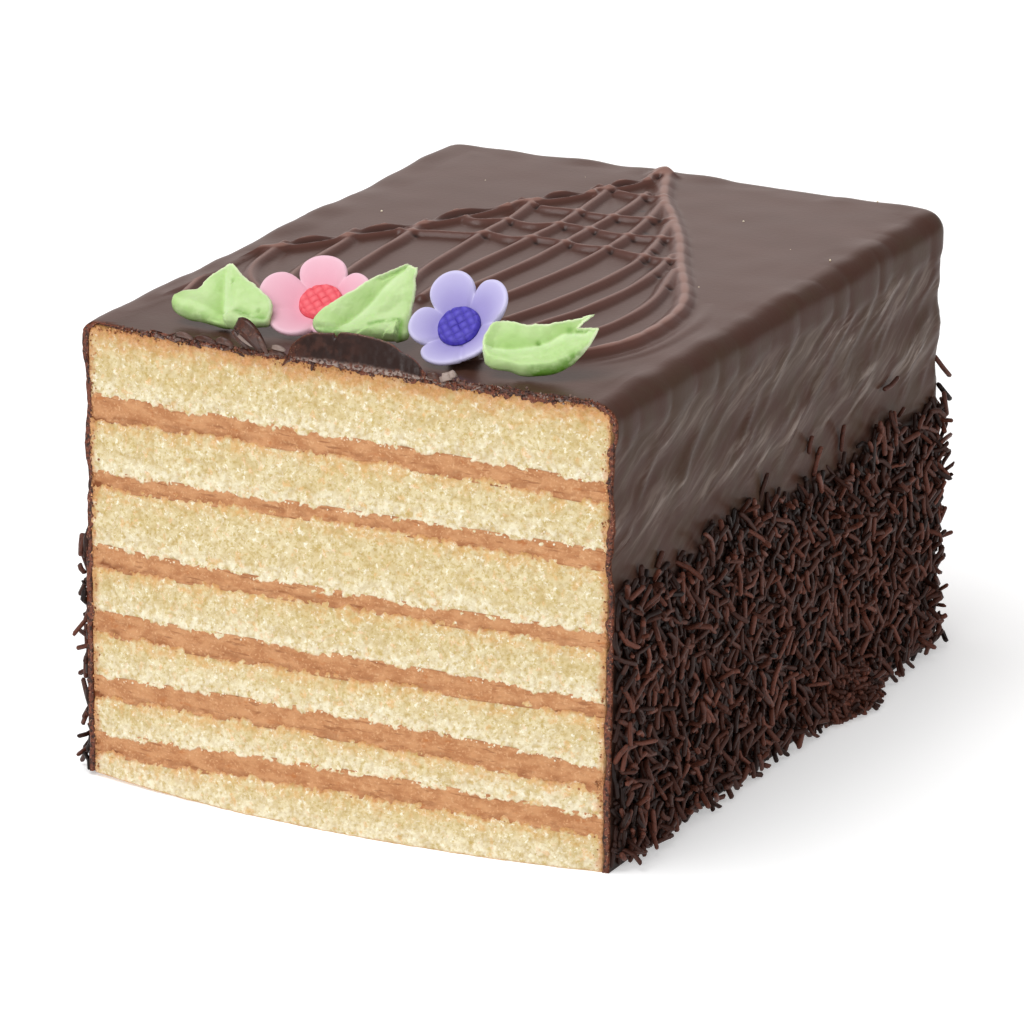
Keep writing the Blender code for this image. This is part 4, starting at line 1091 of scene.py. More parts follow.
def glaze_top():
    """The top between its rounded edges: points, their numbers in rows, height of the net over them and the
    values for the material."""
    inset, fine_start = 7.0 * MM, -66.0 * MM
    xs = np.linspace(-WIDTH / 2 + inset, WIDTH / 2 - inset, TOP_COLUMNS)
    ys = np.concatenate((
        np.linspace(FRONT, fine_start, 14)[:-1],
        np.linspace(fine_start, DEPTH / 2 - inset, TOP_ROWS),
    ))
    x, y = (part.ravel() for part in np.meshgrid(xs, ys))
    raised, hole_shade, hollow = net_height(x, y)
    # painted shade: the front of the top takes half of the walls' darker colour
    towards_front = smooth_step((-42.0 * MM - y) / (26.0 * MM))
    # net also drives the painted crest highlight; painted shade in the small holes and in the loops' hollows
    values = {"net": raised / (1.6 * MM), "hole_shade": hole_shade, "dark": 0.7 * hollow, "wall_shade": 0.5 * towards_front}
    index = np.arange(len(x)).reshape(len(ys), len(xs))
    return np.column_stack((x, y, np.full_like(x, HEIGHT))), index, raised, values


def moved_in(row, inward, from_side, from_top):
    """A row of points moved in from the sides and down from the top, but not under the table."""
    row = row.copy()
    row[:, 0] -= inward[:, 0] * from_side
    row[:, 2] = np.maximum(0.0, row[:, 2] - inward[:, 1] * from_top)
    return row


def inside_rows(rim, plain_rim, inward):
    """Rows of points across the rough cut edge, then along the inside of the glaze to the back."""
    over_top = np.interp(rim[:, 0] / MM, RIM_PLACES, RIM_WIDTHS) * MM
    thickness = SIDE_RIM * np.abs(inward[:, 0]) + over_top * inward[:, 1]
    thickness = thickness * np.clip(0.95 + 0.9 * grain(rim, 3.0 * MM, 5, 1.0, 0.6), 0.35, 2.0)
    rows = []
    for step in range(1, CUT_ROWS + 1):
        depth = thickness * step / CUT_ROWS
        row = moved_in(rim, inward, depth, depth)
        row[:, 1] += (0.25 * grain(row, 0.8 * MM, 3, 2.0, 0.4) - 0.25) * MM
        rows.append(row)
    for y in (FRONT + 4 * MM, DEPTH / 2 - GLAZE_SIDE):
        row = moved_in(plain_rim, inward, GLAZE_SIDE, GLAZE_TOP)
        row[:, 1] = y
        rows.append(settle(row))
    return rows


def make_glaze(material):
    """The glaze in one closed mesh: walls and rounded edges, top with the net, rough cut edge, inside."""
    walls, wall_index, counts, facing, wall_values = glaze_walls()
    top, top_index, raised, top_values = glaze_top()
    first_top = len(walls)
    top_index = top_index + first_top
    faces = sheet_faces(wall_index) + sheet_faces(top_index)
    border = np.concatenate((top_index[:, 0], top_index[-1, 1:], top_index[-2::-1, -1]))
    back, across = (np.linspace(0.0, 1.0, count) for count in top_index.shape)
    border_places = np.concatenate((back, 1.0 + across[1:], 2.0 + back[1:]))
    faces += zip_rows(wall_index[:, -1], border, counts, border_places)

    plain = np.concatenate((walls, top))
    points = settle(plain)
    to_edge = np.minimum(WIDTH / 2 - np.abs(points[:, 0]), DEPTH / 2 - points[:, 1])
    edge_swell = np.clip(0.9 * grain(points, 21.0 * MM, 2, 5.0), -0.2, 0.7)
    swell = 0.12 * grain(points, 18.0 * MM, 2) + edge_swell * smooth_step(1.2 - to_edge / (9.0 * MM))
    points[:, 2] += swell * MM * smooth_step((points[:, 2] - HEIGHT + 9.0 * MM) / (8.0 * MM))
    points[first_top:, 2] += raised

    # Rough cut edge and inside, each row going up the left, over the top and down the right
    outline = np.concatenate((wall_index[0], top_index[0], wall_index[-1, ::-1]))
    left = [(-side, up) for side, up in facing]
    inward = np.array([*left, *[(0.0, 1.0)] * len(across), *facing[::-1]])
    rim = points[outline]
    rows = inside_rows(rim, plain[outline], inward)
    points[outline, 1] += 0.3 * MM * grain(rim, 0.9 * MM, 3, 3.0, 0.4) - 0.1 * MM
    row_index = np.arange(len(rows) * len(rim)).reshape(len(rows), len(rim)) + len(points)
    faces += sheet_faces(np.vstack((outline, row_index)).T)
    faces.append(row_index[-1, ::-1].tolist())

    # Underside of the walls
    foot = np.append(row_index[:, 0], row_index[::-1, -1])
    left_places = [0.002 * step for step in range(1, CUT_ROWS + 1)] + [0.03, 1.0]
    foot_places = left_places + [3.0 - place for place in left_places[::-1]]
    faces += zip_rows(foot, wall_index[:, 0], foot_places, counts)

    points = np.concatenate((points, *rows))
    cut_start = row_index[0, 0]
    cut = np.zeros(len(points))
    cut[cut_start:] = 1.0
    cut[outline] = 0.85
    values = {"cut": cut}
    for start, part in ((0, wall_values), (first_top, top_values)):
        for name, numbers in part.items():
            values.setdefault(name, np.zeros(len(points)))[start:start + len(numbers)] = numbers
    piece = mesh_object("glaze_shell", points, faces, material, **values)
    dress(piece, "glaze", "glaze")


# Sprinkles


def sprinkle_mesh(name, middles, ways, outs, lengths, bends, radii, tones, material):
    """Short bent rods with blunt ends, all in one mesh."""
    sides = 5
    places = np.array([0.0, 0.07, 0.5, 0.93, 1.0])
    widths = np.array([0.62, 1.0, 1.03, 1.0, 0.62])
    across = np.cross(ways, outs)
    across /= np.linalg.norm(across, axis=1)[:, None]
    outs = np.cross(across, ways)
    reach = places - 0.5
    middle_line = (
        middles[:, None, :]
        + ways[:, None, :] * (lengths[:, None] * reach)[..., None]
        + across[:, None, :] * (bends[:, None] * (0.25 - reach**2) * 4.0)[..., None]
    )
    turn = ring_angles(sides)[None, :, None]
    spokes = across[:, None, :] * np.cos(turn) + outs[:, None, :] * np.sin(turn)
    points = middle_line[:, :, None, :] + (
        spokes[:, None, :, :] * (radii[:, None] * widths)[:, :, None, None]
    )
    count = len(middles)
    each = len(places) * sides
    ring = ring_index(len(places), sides)
    quads = np.array(sheet_faces(ring))
    ends = np.array([ring[0, -2::-1], ring[-1, :-1]])
    starts = (np.arange(count) * each)[:, None, None]
    faces = (quads + starts).reshape(-1, 4).tolist() + (ends + starts).reshape(-1, sides).tolist()
    tone = np.repeat(tones, each)
    return mesh_object(name, points.reshape(-1, 3), faces, material, tone=tone)


def sprinkle_layer(draw, spacing, stand_low, stand_high, tilt_spread):
    """One layer of sprinkles scattered over the three walls: their middles, the ways they point, the ways
    out of the wall and the spots on it."""
    spacing = spacing * MM
    total = wall_length()
    columns = int(total / spacing)
    rows = int(COAT_LIMIT / spacing)
    column, row = (part.ravel() for part in np.meshgrid(np.arange(columns), np.arange(rows)))
    along = (column + 0.5 + draw.uniform(-0.6, 0.6, len(column))) * spacing
    z = np.abs((row + 0.5 + draw.uniform(-0.6, 0.6, len(row))) * spacing)
    spots, ways_out, _, _ = wall_places(np.clip(along, 0.4 * MM, total - 0.4 * MM))
    edge = coat_edge(spots[:, 0], spots[:, 1])
    edge += 2.4 * MM * grain(np.column_stack((spots, 0 * z)), 6.0 * MM, 3, 8.0)
    kept = z < edge - 0.6 * MM
    kept &= ~((z > edge - 3.0 * MM) & (draw.random(len(z)) < 0.4))
    spots, ways_out, z = spots[kept], ways_out[kept], z[kept]
    count = len(z)
    outs = np.column_stack((ways_out, np.zeros(count)))
    level = np.column_stack((-ways_out[:, 1], ways_out[:, 0], np.zeros(count)))
    steep = draw.random(count) < STEEP_SHARE
    spin = np.where(steep, draw.normal(math.pi / 2, 0.6, count), draw.uniform(0.0, math.pi, count))
    tilt = np.radians(draw.normal(0.0, tilt_spread, count))
    ways = level * np.cos(spin)[:, None] + np.array((0.0, 0.0, 1.0)) * np.sin(spin)[:, None]
    ways = ways * np.cos(tilt)[:, None] + outs * np.sin(tilt)[:, None]
    thick = 1.0 + 0.5 * bell(z / (8.0 * MM))
    stand = COAT_BASE + draw.uniform(stand_low, stand_high, count) * thick * MM
    middles = settle(np.column_stack((spots, z))) + outs * stand[:, None]
    return middles, ways, outs, spots


def sprinkle_clump(draw):
    """The clump that has slipped to the foot of the right side."""
    count = CLUMP_COUNT
    along = CLUMP_Y + draw.normal(0.0, 7.0 * MM, count)
    height = CLUMP_HEIGHT * draw.random(count) ** 1.5
    room = np.clip(1.0 - height / (12.0 * MM), 0.1, 1.0) * bell((along - CLUMP_Y) / CLUMP_LENGTH)
    out = (1.2 + 6.0 * draw.uniform(0.2, 1.0, count) * room) * MM
    middles = np.column_stack((WIDTH / 2 - RIGHT_LEAN + out, along, height))
    ways = draw.normal(0.0, 1.0, (count, 3)) * (1.0, 1.0, 0.6)
    ways /= np.linalg.norm(ways, axis=1)[:, None]
    outs = np.tile((1.0, 0.0, 0.0), (count, 1))
    return middles, ways, outs, np.column_stack((np.full(count, WIDTH / 2), along))


def make_sprinkles(material):
    draw = np.random.default_rng(SPRINKLE_SEED)
    groups = [sprinkle_layer(draw, *layer) for layer in SPRINKLE_LAYERS]
    inner_count = len(groups[0][0])
    groups.append(sprinkle_clump(draw))
    strays = np.array(STRAY_SPRINKLES)
    stray_ways = strays[:, 3:] / np.linalg.norm(strays[:, 3:], axis=1)[:, None]
    stray_outs = np.tile((0.8, 0.6, 0.0), (len(strays), 1))
    groups.append((strays[:, :3] * MM, stray_ways, stray_outs, strays[:, :2] * MM))
    middles, ways, outs, spots = (np.concatenate(parts) for parts in zip(*groups))
    count = len(middles)
    lengths = draw.triangular(*SPRINKLE_LENGTHS, count) * MM
    bends = draw.normal(0.0, SPRINKLE_BEND, count) * MM
    radii = SPRINKLE_RADIUS * draw.uniform(0.82, 1.15, count)
    sag = np.abs(bends) * (1.0 - np.abs(ways[:, 2]))
    reach = np.abs(ways[:, 2]) * lengths / 2 + radii + sag
    middles[:, 2] = np.maximum(middles[:, 2], reach + 0.1 * MM)
    front_reach = np.abs(ways[:, 1]) * lengths / 2
    middles[:, 1] = np.maximum(middles[:, 1], FRONT + front_reach + 0.1 * MM)
    tones = draw.beta(1.8, 2.4, count)
    # painted shade: the inner layer is darker, under the outer one
    tones[:inner_count] *= INNER_SHADE
    left = spots[:, 0] < -WIDTH / 2 + 0.5 * MM
    right = spots[:, 0] > WIDTH / 2 - 0.5 * MM
    for name, chosen in (("left", left), ("right", right), ("back", ~(left | right))):
        piece = sprinkle_mesh(
            f"sprinkles_{name}", middles[chosen], ways[chosen], outs[chosen], lengths[chosen],
            bends[chosen], radii[chosen], tones[chosen], material,
        )
        dress(piece, "glaze")


# Flowers


def lean_frame(middle, turn, tilt):
    """Frame of a decoration that leans back: X to the right, Y up its slope, Z out of its face."""
    turned = Matrix.Translation(middle) @ Matrix.Rotation(math.radians(turn), 4, "Z")
    return np.array(turned @ Matrix.Rotation(math.radians(tilt), 4, "X"))


def into(frame_matrix, points):
    return points @ frame_matrix[:3, :3].T + frame_matrix[:3, 3]


def petal_rim(angles, petals):
    """Radius of a flower's rim in each direction, and how near each direction is to a notch."""
    rims, notches = np.zeros_like(angles), np.zeros_like(angles)
    for position, (start, length, notch) in enumerate(petals):
        end, next_length, _ = petals[(position + 1) % len(petals)]
        span = (end - start) % 360.0
        offset = (angles - start) % 360.0
        inside = offset <= span
        share = np.clip(offset / span, 0.0, 1.0)
        nearest = np.where(share < 0.5, length, next_length)
        lobe = np.abs(np.cos(math.pi * share)) ** PETAL_ROUNDNESS
        rims = np.where(inside, notch + (nearest - notch) * lobe, rims)
        notches = np.where(inside, bell((share - 0.5) / 0.09), notches)
    return rims, notches


def press(name, layers, leaning, material, slot, node, **values):
    """A piece of a flower, made of rings of points and placed where the flower leans."""
    faces = sheet_faces(ring_index(len(layers), len(layers[0]))[:, ::-1])
    points = into(leaning, np.concatenate(layers))
    values = {key: np.concatenate(numbers) for key, numbers in values.items()}
    piece = mesh_object(name, points, faces, material, **values)
    weld(piece)
    dress(piece, slot, node)


def weld(piece):
    """Joins points that lie on each other, such as the rings' middles."""
    modifier = piece.modifiers.new("weld", "WELD")
    modifier.merge_threshold = 0.00001


def make_petals(name, leaning, cup, petals, material):
    """Five flat round petals in one sheet, hollow at their middles and round at their rim."""
    spokes, rings = 200, 18
    rounded = 0.9 * MM  # how wide the rim is rounded
    angles = np.arange(spokes) * 360.0 / spokes
    turned = np.radians(angles)
    rim, notch = petal_rim(angles, petals)
    shares = np.sin(np.linspace(0.0, math.pi / 2, rings + 1)) ** 0.9
    layers = []
    rims = []
    for face, face_shares in ((1.0, shares), (-1.0, shares[-2::-1])):
        for share in face_shares:
            radius = rim * share
            height = cup * np.maximum(0.0, radius - BUTTON_RADIUS) / (FLOWER_RADIUS - BUTTON_RADIUS)
            height = height + 0.35 * MM * (share**2) * (1.0 - notch) * np.sin(share * 3.0)
            height -= 0.45 * MM * notch * share**2
            edge = np.clip((radius - rim + rounded) / rounded, 0.0, 1.0)
            half = FLOWER_THICKNESS / 2 * np.sqrt(1.0 - edge**2)
            layers.append(np.column_stack((
                radius * np.cos(turned), radius * np.sin(turned), height + face * half
            )))
            paler = 0.5 * smooth_step((share - 0.45) / 0.5) + 0.3 * bell((rim - radius) / (1.2 * MM))
            rims.append(np.clip(paler + 0.5 * edge, 0.0, 1.0))
    slot = "pink_sugar" if name == "pink" else "lilac_sugar"
    press(f"petals_{name}", layers, leaning, material, slot, f"flower_{name}", rim=rims)


def make_button(name, leaning, material):
    """A small disc pressed with a basket weave."""
    spokes, rings = 96, 34
    angles = ring_angles(spokes)
    pitch = 2.0 * BUTTON_RADIUS / 5.2
    lift = FLOWER_THICKNESS / 2 + 0.1 * MM
    body = BUTTON_HEIGHT - 0.35 * MM
    layers = []
    grooves = []
    for ring in range(rings + 1):
        radius = BUTTON_RADIUS * ring / rings * 0.98
        x, y = radius * np.cos(angles), radius * np.sin(angles)
        u, v = (x + y) / math.sqrt(2.0) / pitch, (x - y) / math.sqrt(2.0) / pitch
        over = (np.floor(u) + np.floor(v)) % 2.0 > 0.5
        first, second = np.where(over, u % 1.0, v % 1.0), np.where(over, v % 1.0, u % 1.0)
        weave = np.sin(math.pi * first) ** 0.5 * (0.55 + 0.45 * np.sin(math.pi * second))
        round_off = np.sqrt(1.0 - np.clip((ring / rings - 0.86) / 0.14, 0.0, 1.0) ** 2)
        height = lift + body * (0.35 + 0.65 * round_off) + WEAVE_DEPTH * weave * round_off
        layers.append(np.column_stack((x, y, height)))
        # painted shade in the grooves of the weave
        grooves.append(1.0 - weave)
    for radius in (BUTTON_RADIUS, 0.0):
        foot = (radius * np.cos(angles), radius * np.sin(angles), np.full(spokes, lift))
        layers.append(np.column_stack(foot))
        grooves.append(np.ones(spokes))
    slot = "red_sugar" if name == "pink" else "blue_sugar"
    press(f"button_{name}", layers, leaning, material, slot, f"flower_{name}_centre", groove=grooves)


# Leaves


def beside(route, x, y):
    """How far each place lies to the right of a route, or to its left if negative, and its share of the way
    along it."""
    distance, along = nearest_on(route, x, y)
    travelled = np.concatenate(([0.0], np.cumsum(np.hypot(*np.diff(route, axis=0).T))))
    on_x, on_y, ahead_x, ahead_y = (
        np.interp(along + step, travelled, route[:, axis]) for step in (0.0, 0.2) for axis in (0, 1)
    )
    before_x, before_y = (np.interp(along - 0.2, travelled, route[:, axis]) for axis in (0, 1))
    side = (x - on_x) * (ahead_y - before_y) - (y - on_y) * (ahead_x - before_x)
    return np.where(side < 0.0, -distance, distance), along / travelled[-1]


def leaf_relief(name, x, y):
    """Height of a leaf's folds, and how much each place has painted shade as a dark flank, painted light as
    a pale one, or a green stroke of painted shade.
    """
    height, flank_shade, pale, deep = (np.zeros_like(x) for _ in range(4))
    for route, left, left_height, right, right_height, start, end, tint in LEAF_CREASES[name]:
        distance, share = beside(through_points(route, 6), x, y)
        blunt = np.sqrt(distance**2 + 0.09) - 0.3
        flank = np.clip(1.0 - blunt / np.where(distance < 0.0, left, right), 0.0, 1.0) ** 1.5
        flank = flank * (start + (end - start) * share)
        height += flank * np.where(distance < 0.0, left_height, right_height)
        # painted shade on a fold's left flank and painted light on its right flank
        flank_shade = np.maximum(flank_shade, tint * flank * smooth_step(0.5 - distance / 0.5))
        pale = np.maximum(pale, tint * flank * smooth_step(distance / 0.5 - 0.2))
    # strokes and dents of painted shade in deeper green
    for route, half_width, strength in LEAF_SHADES[name]:
        distance, _ = nearest_on(through_points(route, 4), x, y)
        deep = np.maximum(deep, strength * smooth_step(1.0 - distance / half_width))
    for dent_x, dent_y, radius in LEAF_DENTS[name]:
        dent = bell(np.hypot(x - dent_x, y - dent_y) / radius)
        height -= 0.6 * dent
        deep = np.maximum(deep, 0.6 * dent)
    return height, flank_shade, pale, deep


def make_leaf(name, origin, turn, tilt, split, left_edge, right_edge, material):
    """A piped leaf: a folded sheet between two edges, thick and round at its foot and thin at its tip."""
    left, right = through_points(left_edge, 9), through_points(right_edge, 9)
    cells = 72
    heading = np.array(left_edge[-1]) - np.array(left_edge[0])
    heading = heading / np.linalg.norm(heading)
    along = np.linspace(0.0, 1.0, len(left))[:, None] * np.ones(cells + 1)
    across = np.ones(len(left))[:, None] * np.linspace(-1.0, 1.0, cells + 1)
    share = (1.0 - across) / 2.0
    spot = left[:, None, :] * (1.0 - share)[..., None] + right[:, None, :] * share[..., None]
    spot -= heading * (split * (1.0 - np.abs(across)) * along**4)[..., None]
    places = np.column_stack((spot.reshape(-1, 2), np.full(along.size, origin[0] / MM)))
    torn = grain(places, 1.3, 3, 4.0).reshape(along.shape)
    sideways = np.array((heading[1], -heading[0]))
    free = smooth_step(spot[..., 1] / 6.0 - 0.3)
    spot = spot + sideways * (0.30 * free * torn * across**5)[..., None]
    spot = spot + heading * (0.45 * torn * along**6)[..., None]
    x, y = spot[..., 0], spot[..., 1]
    inside, _ = nearest_on(round_edge(spot), x, y)
    foot = smooth_step(1.0 - y * MM / LEAF_THICK_REACH)
    thickness = (LEAF_TIP_THICKNESS + (LEAF_BASE_THICKNESS - LEAF_TIP_THICKNESS) * foot) / MM
    rounding = np.sqrt(1.0 - (1.0 - np.clip(inside / (0.5 * thickness + 0.2), 0.0, 1.0)) ** 2)
    folds, flank_shade, pale, deep = leaf_relief(name, x, y)
    height = 0.22 * grain(places, 3.0, 3, 1.0).reshape(along.shape) + folds * smooth_step(0.3 + inside)
    front = np.dstack((spot, height + thickness * LEAF_FRONT_SHARE * rounding))
    back = np.dstack((spot, height - thickness * (1.0 - LEAF_FRONT_SHARE) * rounding))
    index = np.arange(along.size).reshape(along.shape)
    faces = sheet_faces(index[:, ::-1]) + sheet_faces(index + along.size)
    placed = into(lean_frame(origin, turn, tilt), np.concatenate((front, back)).reshape(-1, 3) * MM)
    placed[:, 2] = np.maximum(placed[:, 2], HEIGHT - 0.1 * MM)
    # the leaf's painted shade and painted light on its flanks, and its deeper green strokes of painted shade
    values = {
        "edge": smooth_step(1.0 - inside / 0.7) * free,
        "flank_shade": flank_shade,
        "pale": pale,
        "deep": deep,
    }
    values = {key: np.tile(numbers.ravel(), 2) for key, numbers in values.items()}
    # painted shade over the leaf's underside
    values["deep"][along.size:] = np.maximum(values["deep"][along.size:], 0.5)
    piece = mesh_object(f"piped_{name}", placed, faces, material, **values)
    weld(piece)
    dress(piece, "leaf_icing", name)


def make_decorations(materials):
    for name, middle, turn, tilt, cup, petals in FLOWERS:
        leaning = lean_frame(middle, turn, tilt)
        make_petals(name, leaning, cup, petals, materials[f"petal_{name}"])
        make_button(name, leaning, materials[f"button_{name}"])
    for sizes in LEAVES:
        make_leaf(*sizes, materials["leaf"])


# Lip, chips and dabs


def at_front(x, out, z):
    """A place so far in front of the top edge of the cut face."""
    across = side_share(x)
    return np.column_stack((x, FRONT - FRONT_BULGE_TOP * (1.0 - across**2) - out, z))


def make_lip(material):
    """The edge that the knife has curled up: a leaning sheet with a granular foot and a claw at its left."""
    upper, lower = (through_points(line, 12) * MM for line in (LIP_TOP, LIP_FOOT))
    columns, rows = len(upper), 30
    share, up = np.meshgrid(np.linspace(0.0, 1.0, columns), np.linspace(0.0, 1.0, rows))
    line = lower[None] * (1.0 - up[..., None]) + upper[None] * up[..., None]
    share, up, x, z = share.ravel(), up.ravel(), line[..., 0].ravel(), line[..., 1].ravel()
    height = np.tile(upper[:, 1] - lower[:, 1], rows)
    torn = grain(np.column_stack((x, 0 * x, 0 * x)), 2.0 * MM, 3, 5.0)
    body = smooth_step(share / 0.12) * smooth_step((1.0 - share) / 0.06)
    nick = 1.3 * bell((x - LIP_NICK_X) / (0.35 * MM))
    z = z + (0.30 * torn * (1.0 - up) - (0.12 * torn + nick) * up**9) * body * MM
    granular = smooth_step(1.7 - up / 0.15) * body
    thickness = (0.35 + 0.85 * body) * MM * (1.0 - 0.75 * up)
    front = (0.85 - 0.30 * up) * MM - 0.30 * height * up**1.7 * body
    places = np.column_stack((x, z, 0 * x))
    rough = 0.35 * granular * grain(places, 0.6 * MM, 3, 2.0) + 0.09 * grain(places, 2.4 * MM, 3)
    front_points = at_front(x, front + rough * MM, z)
    points = np.concatenate((front_points, at_front(x, front - thickness, z)))
    count = columns * rows
    index = np.arange(count).reshape(rows, columns)
    faces = sheet_faces(index) + sheet_faces((index + count)[:, ::-1])
    border = round_edge(index)
    faces += sheet_faces(np.stack((border + count, border), axis=0))
    # painted glints on the granular foot
    glints = np.clip(0.75 + 2.4 * grain(front_points, 0.55 * MM, 2, 3.0), 0.0, 1.0)
    brown = np.maximum(1.0 - body, smooth_step((up - 0.95) / 0.05))
    brown = np.maximum(brown, 0.5 * smooth_step((-8.5 * MM - x) / (2.5 * MM)))
    sheen = 0.6 * np.clip(0.3 + 1.5 * grain(front_points, 2.2 * MM, 4, 7.0), 0.0, 1.0)
    sheen = sheen * smooth_step((8.0 * MM - x) / (10.0 * MM))
    # painted shade darkens the lip's face, less where the painted sheen lies
    values = {
        "cut": np.maximum(0.8 * granular * (1.0 - glints), 0.8 * brown),
        "glint": granular * glints,
        "dark": 1.05 * (1.0 - granular) * (1.0 - brown) * (1.0 - sheen),
    }
    values = {key: np.tile(numbers, 2) for key, numbers in values.items()}
    piece = mesh_object("glaze_lip", points, faces, material, **values)
    dress(piece, "glaze", "glaze")


def chip_points(route, half_width, half_thickness, facing):
    """Rings of points of a small curled flake along a route, pointed at both ends."""
    route = through_points(route, 4)
    along = np.gradient(route, axis=0)
    along /= np.linalg.norm(along, axis=1)[:, None]
    wide = np.cross(along, facing)
    wide /= np.linalg.norm(wide, axis=1)[:, None]
    deep = np.cross(wide, along)
    swell = np.sin(math.pi * np.linspace(0.10, 0.96, len(route)))[:, None] ** 0.4
    angles = ring_angles(CHIP_SIDES)
    over = half_thickness * np.sin(angles) + 0.25 * half_width * np.cos(angles) ** 2
    sideways = wide[:, None, :] * (half_width * np.cos(angles) * swell)[..., None]
    return (route[:, None, :] + sideways + deep[:, None, :] * (over * swell)[..., None]).reshape(-1, 3)


def curled_flakes():
    """Route, half width, half thickness, facing and painted glint of each curled flake."""
    for places, half_width, half_thickness, glint_share in CURLS:
        x, out, z = np.array(places).T * MM
        yield at_front(x, out, z), half_width * MM, half_thickness * MM, (0.3, -1.0, 0.5), glint_share


def torn_scraps():
    """Route, half width, half thickness, facing and painted glint of each scrap along the top of the cut."""
    draw = random.Random(SCRAP_SEED)
    for left, right, number in SCRAP_RUNS:
        for _ in range(number):
            x = draw.uniform(left, right)
            z = draw.gauss(*SCRAP_HEIGHT)
            turn, reach = draw.uniform(-0.5, 0.5), draw.uniform(0.4, 1.5)
            steps = np.array((-1.0, 0.0, 1.0)) * reach
            run_x = x + steps * math.cos(turn)
            run_z = z + steps * math.sin(turn) - np.array((0.1, 0.0, 0.1))
            run_out = draw.uniform(-0.3, 0.35) + np.array((0.0, 0.15, 0.0))
            facing = (draw.uniform(-0.5, 0.5), -1.0, draw.uniform(-0.4, 0.8))
            width = draw.uniform(0.15, 0.42) * MM
            glint_share = draw.uniform(0.0, 1.0) ** 4
            yield at_front(run_x * MM, run_out * MM, run_z * MM), width, 0.4 * width, facing, glint_share


def make_chips(material):
    """Curled flakes and torn scraps of glaze along the top of the cut."""
    points, faces, glint, roughness = [], [], [], []
    total = 0
    for chips, rough_cut in ((curled_flakes(), 0.3), (torn_scraps(), 1.0)):
        for *sizes, glint_share in chips:
            chip = chip_points(*sizes)
            points.append(chip)
            rings = len(chip) // CHIP_SIDES
            faces += [[corner + total for corner in face] for face in capped_faces(rings, CHIP_SIDES)]
            glint += [glint_share] * len(chip)
            roughness += [rough_cut] * len(chip)
            total += len(chip)
    points, glint = np.concatenate(points), np.array(glint)
    cut = np.clip(0.5 + 1.2 * grain(points, 2.5 * MM, 2), 0.0, 1.0) * (1.0 - glint) * roughness
    # painted shade on the flakes where they have no painted glint
    dark = 0.4 * (1.0 - glint)
    piece = mesh_object("glaze_chips", points, faces, material, cut=cut, glint=glint, dark=dark)
    dress(piece, "glaze", "glaze")


def make_grains(material):
    """Grains and a few larger chunks of glaze along the top of the cut."""
    draw = np.random.default_rng(GRAIN_SEED)
    x = np.concatenate([draw.uniform(left, right, number) for left, right, number in GRAIN_RUNS])
    z = draw.normal(*GRAIN_HEIGHT, len(x))
    out = draw.uniform(0.0, 0.45, len(x))
    radius = draw.uniform(0.10, 0.34, len(x))
    glint_share = draw.random(len(x)) ** 4
    grains = np.column_stack((x, out, z, radius, glint_share))
    x, out, z, radius, glint_share = np.concatenate((grains, CHUNKS)).T
    middles = at_front(x * MM, out * MM, z * MM)
    # painted glints on some grains and chunks
    values = {"cut": 1.0 - glint_share, "glint": glint_share}
    scatter_crumbs("glaze_grains", middles, radius * MM, draw, material, "glaze", **values)


def make_dabs(material):
    """A dab of glaze from the top of the cake to just under each flower."""
    spokes, rings = 24, 7
    angles = ring_angles(spokes)
    under = np.column_stack((np.cos(angles), np.sin(angles), 0 * angles)) * DAB_RADIUS
    for name, middle, turn, tilt, _, _ in FLOWERS:
        foot = under * (1.0, 0.8, 1.0) + (middle[0], middle[1] + 2 * MM, HEIGHT - 0.5 * MM)
        below_petals = under * 0.7 - (0.0, 0.0, FLOWER_THICKNESS / 2 - 0.2 * MM)
        head = into(lean_frame(middle, turn, tilt), below_petals)
        layers = []
        for share in np.linspace(0.0, 1.0, rings):
            ring = foot + (head - foot) * share
            centre = ring.mean(axis=0)
            layers.append(centre + (ring - centre) * (1.0 - 0.25 * math.sin(math.pi * share)))
        faces = capped_faces(rings, spokes)
        dress(mesh_object(f"glaze_dab_{name}", np.concatenate(layers), faces, material), "glaze")


# Crumbs


def on_cut(x, z):
    """Places on the cut face."""
    return settle(np.column_stack((x, np.full_like(x, FRONT), z)))


def scatter_crumbs(name, middles, sizes, draw, material, slot, **values):
    """Small uneven lumps, all in one mesh. values are numbers for each lump."""
    ball = bmesh.new()
    bmesh.ops.create_icosphere(ball, subdivisions=1, radius=1.0)
    corners = np.array([vert.co for vert in ball.verts])
    triangles = np.array([[vert.index for vert in face.verts] for face in ball.faces])
    ball.free()
    count = len(middles)
    uneven = draw.uniform(0.65, 1.25, (count, len(corners), 1))
    points = middles[:, None, :] + corners[None] * uneven * sizes[:, None, None]
    faces = (triangles[None] + np.arange(count)[:, None, None] * len(corners)).reshape(-1, 3).tolist()
    values = {key: np.repeat(numbers, len(corners)) for key, numbers in values.items()}
    piece = mesh_object(name, points.reshape(-1, 3), faces, material, **values)
    dress(piece, slot)


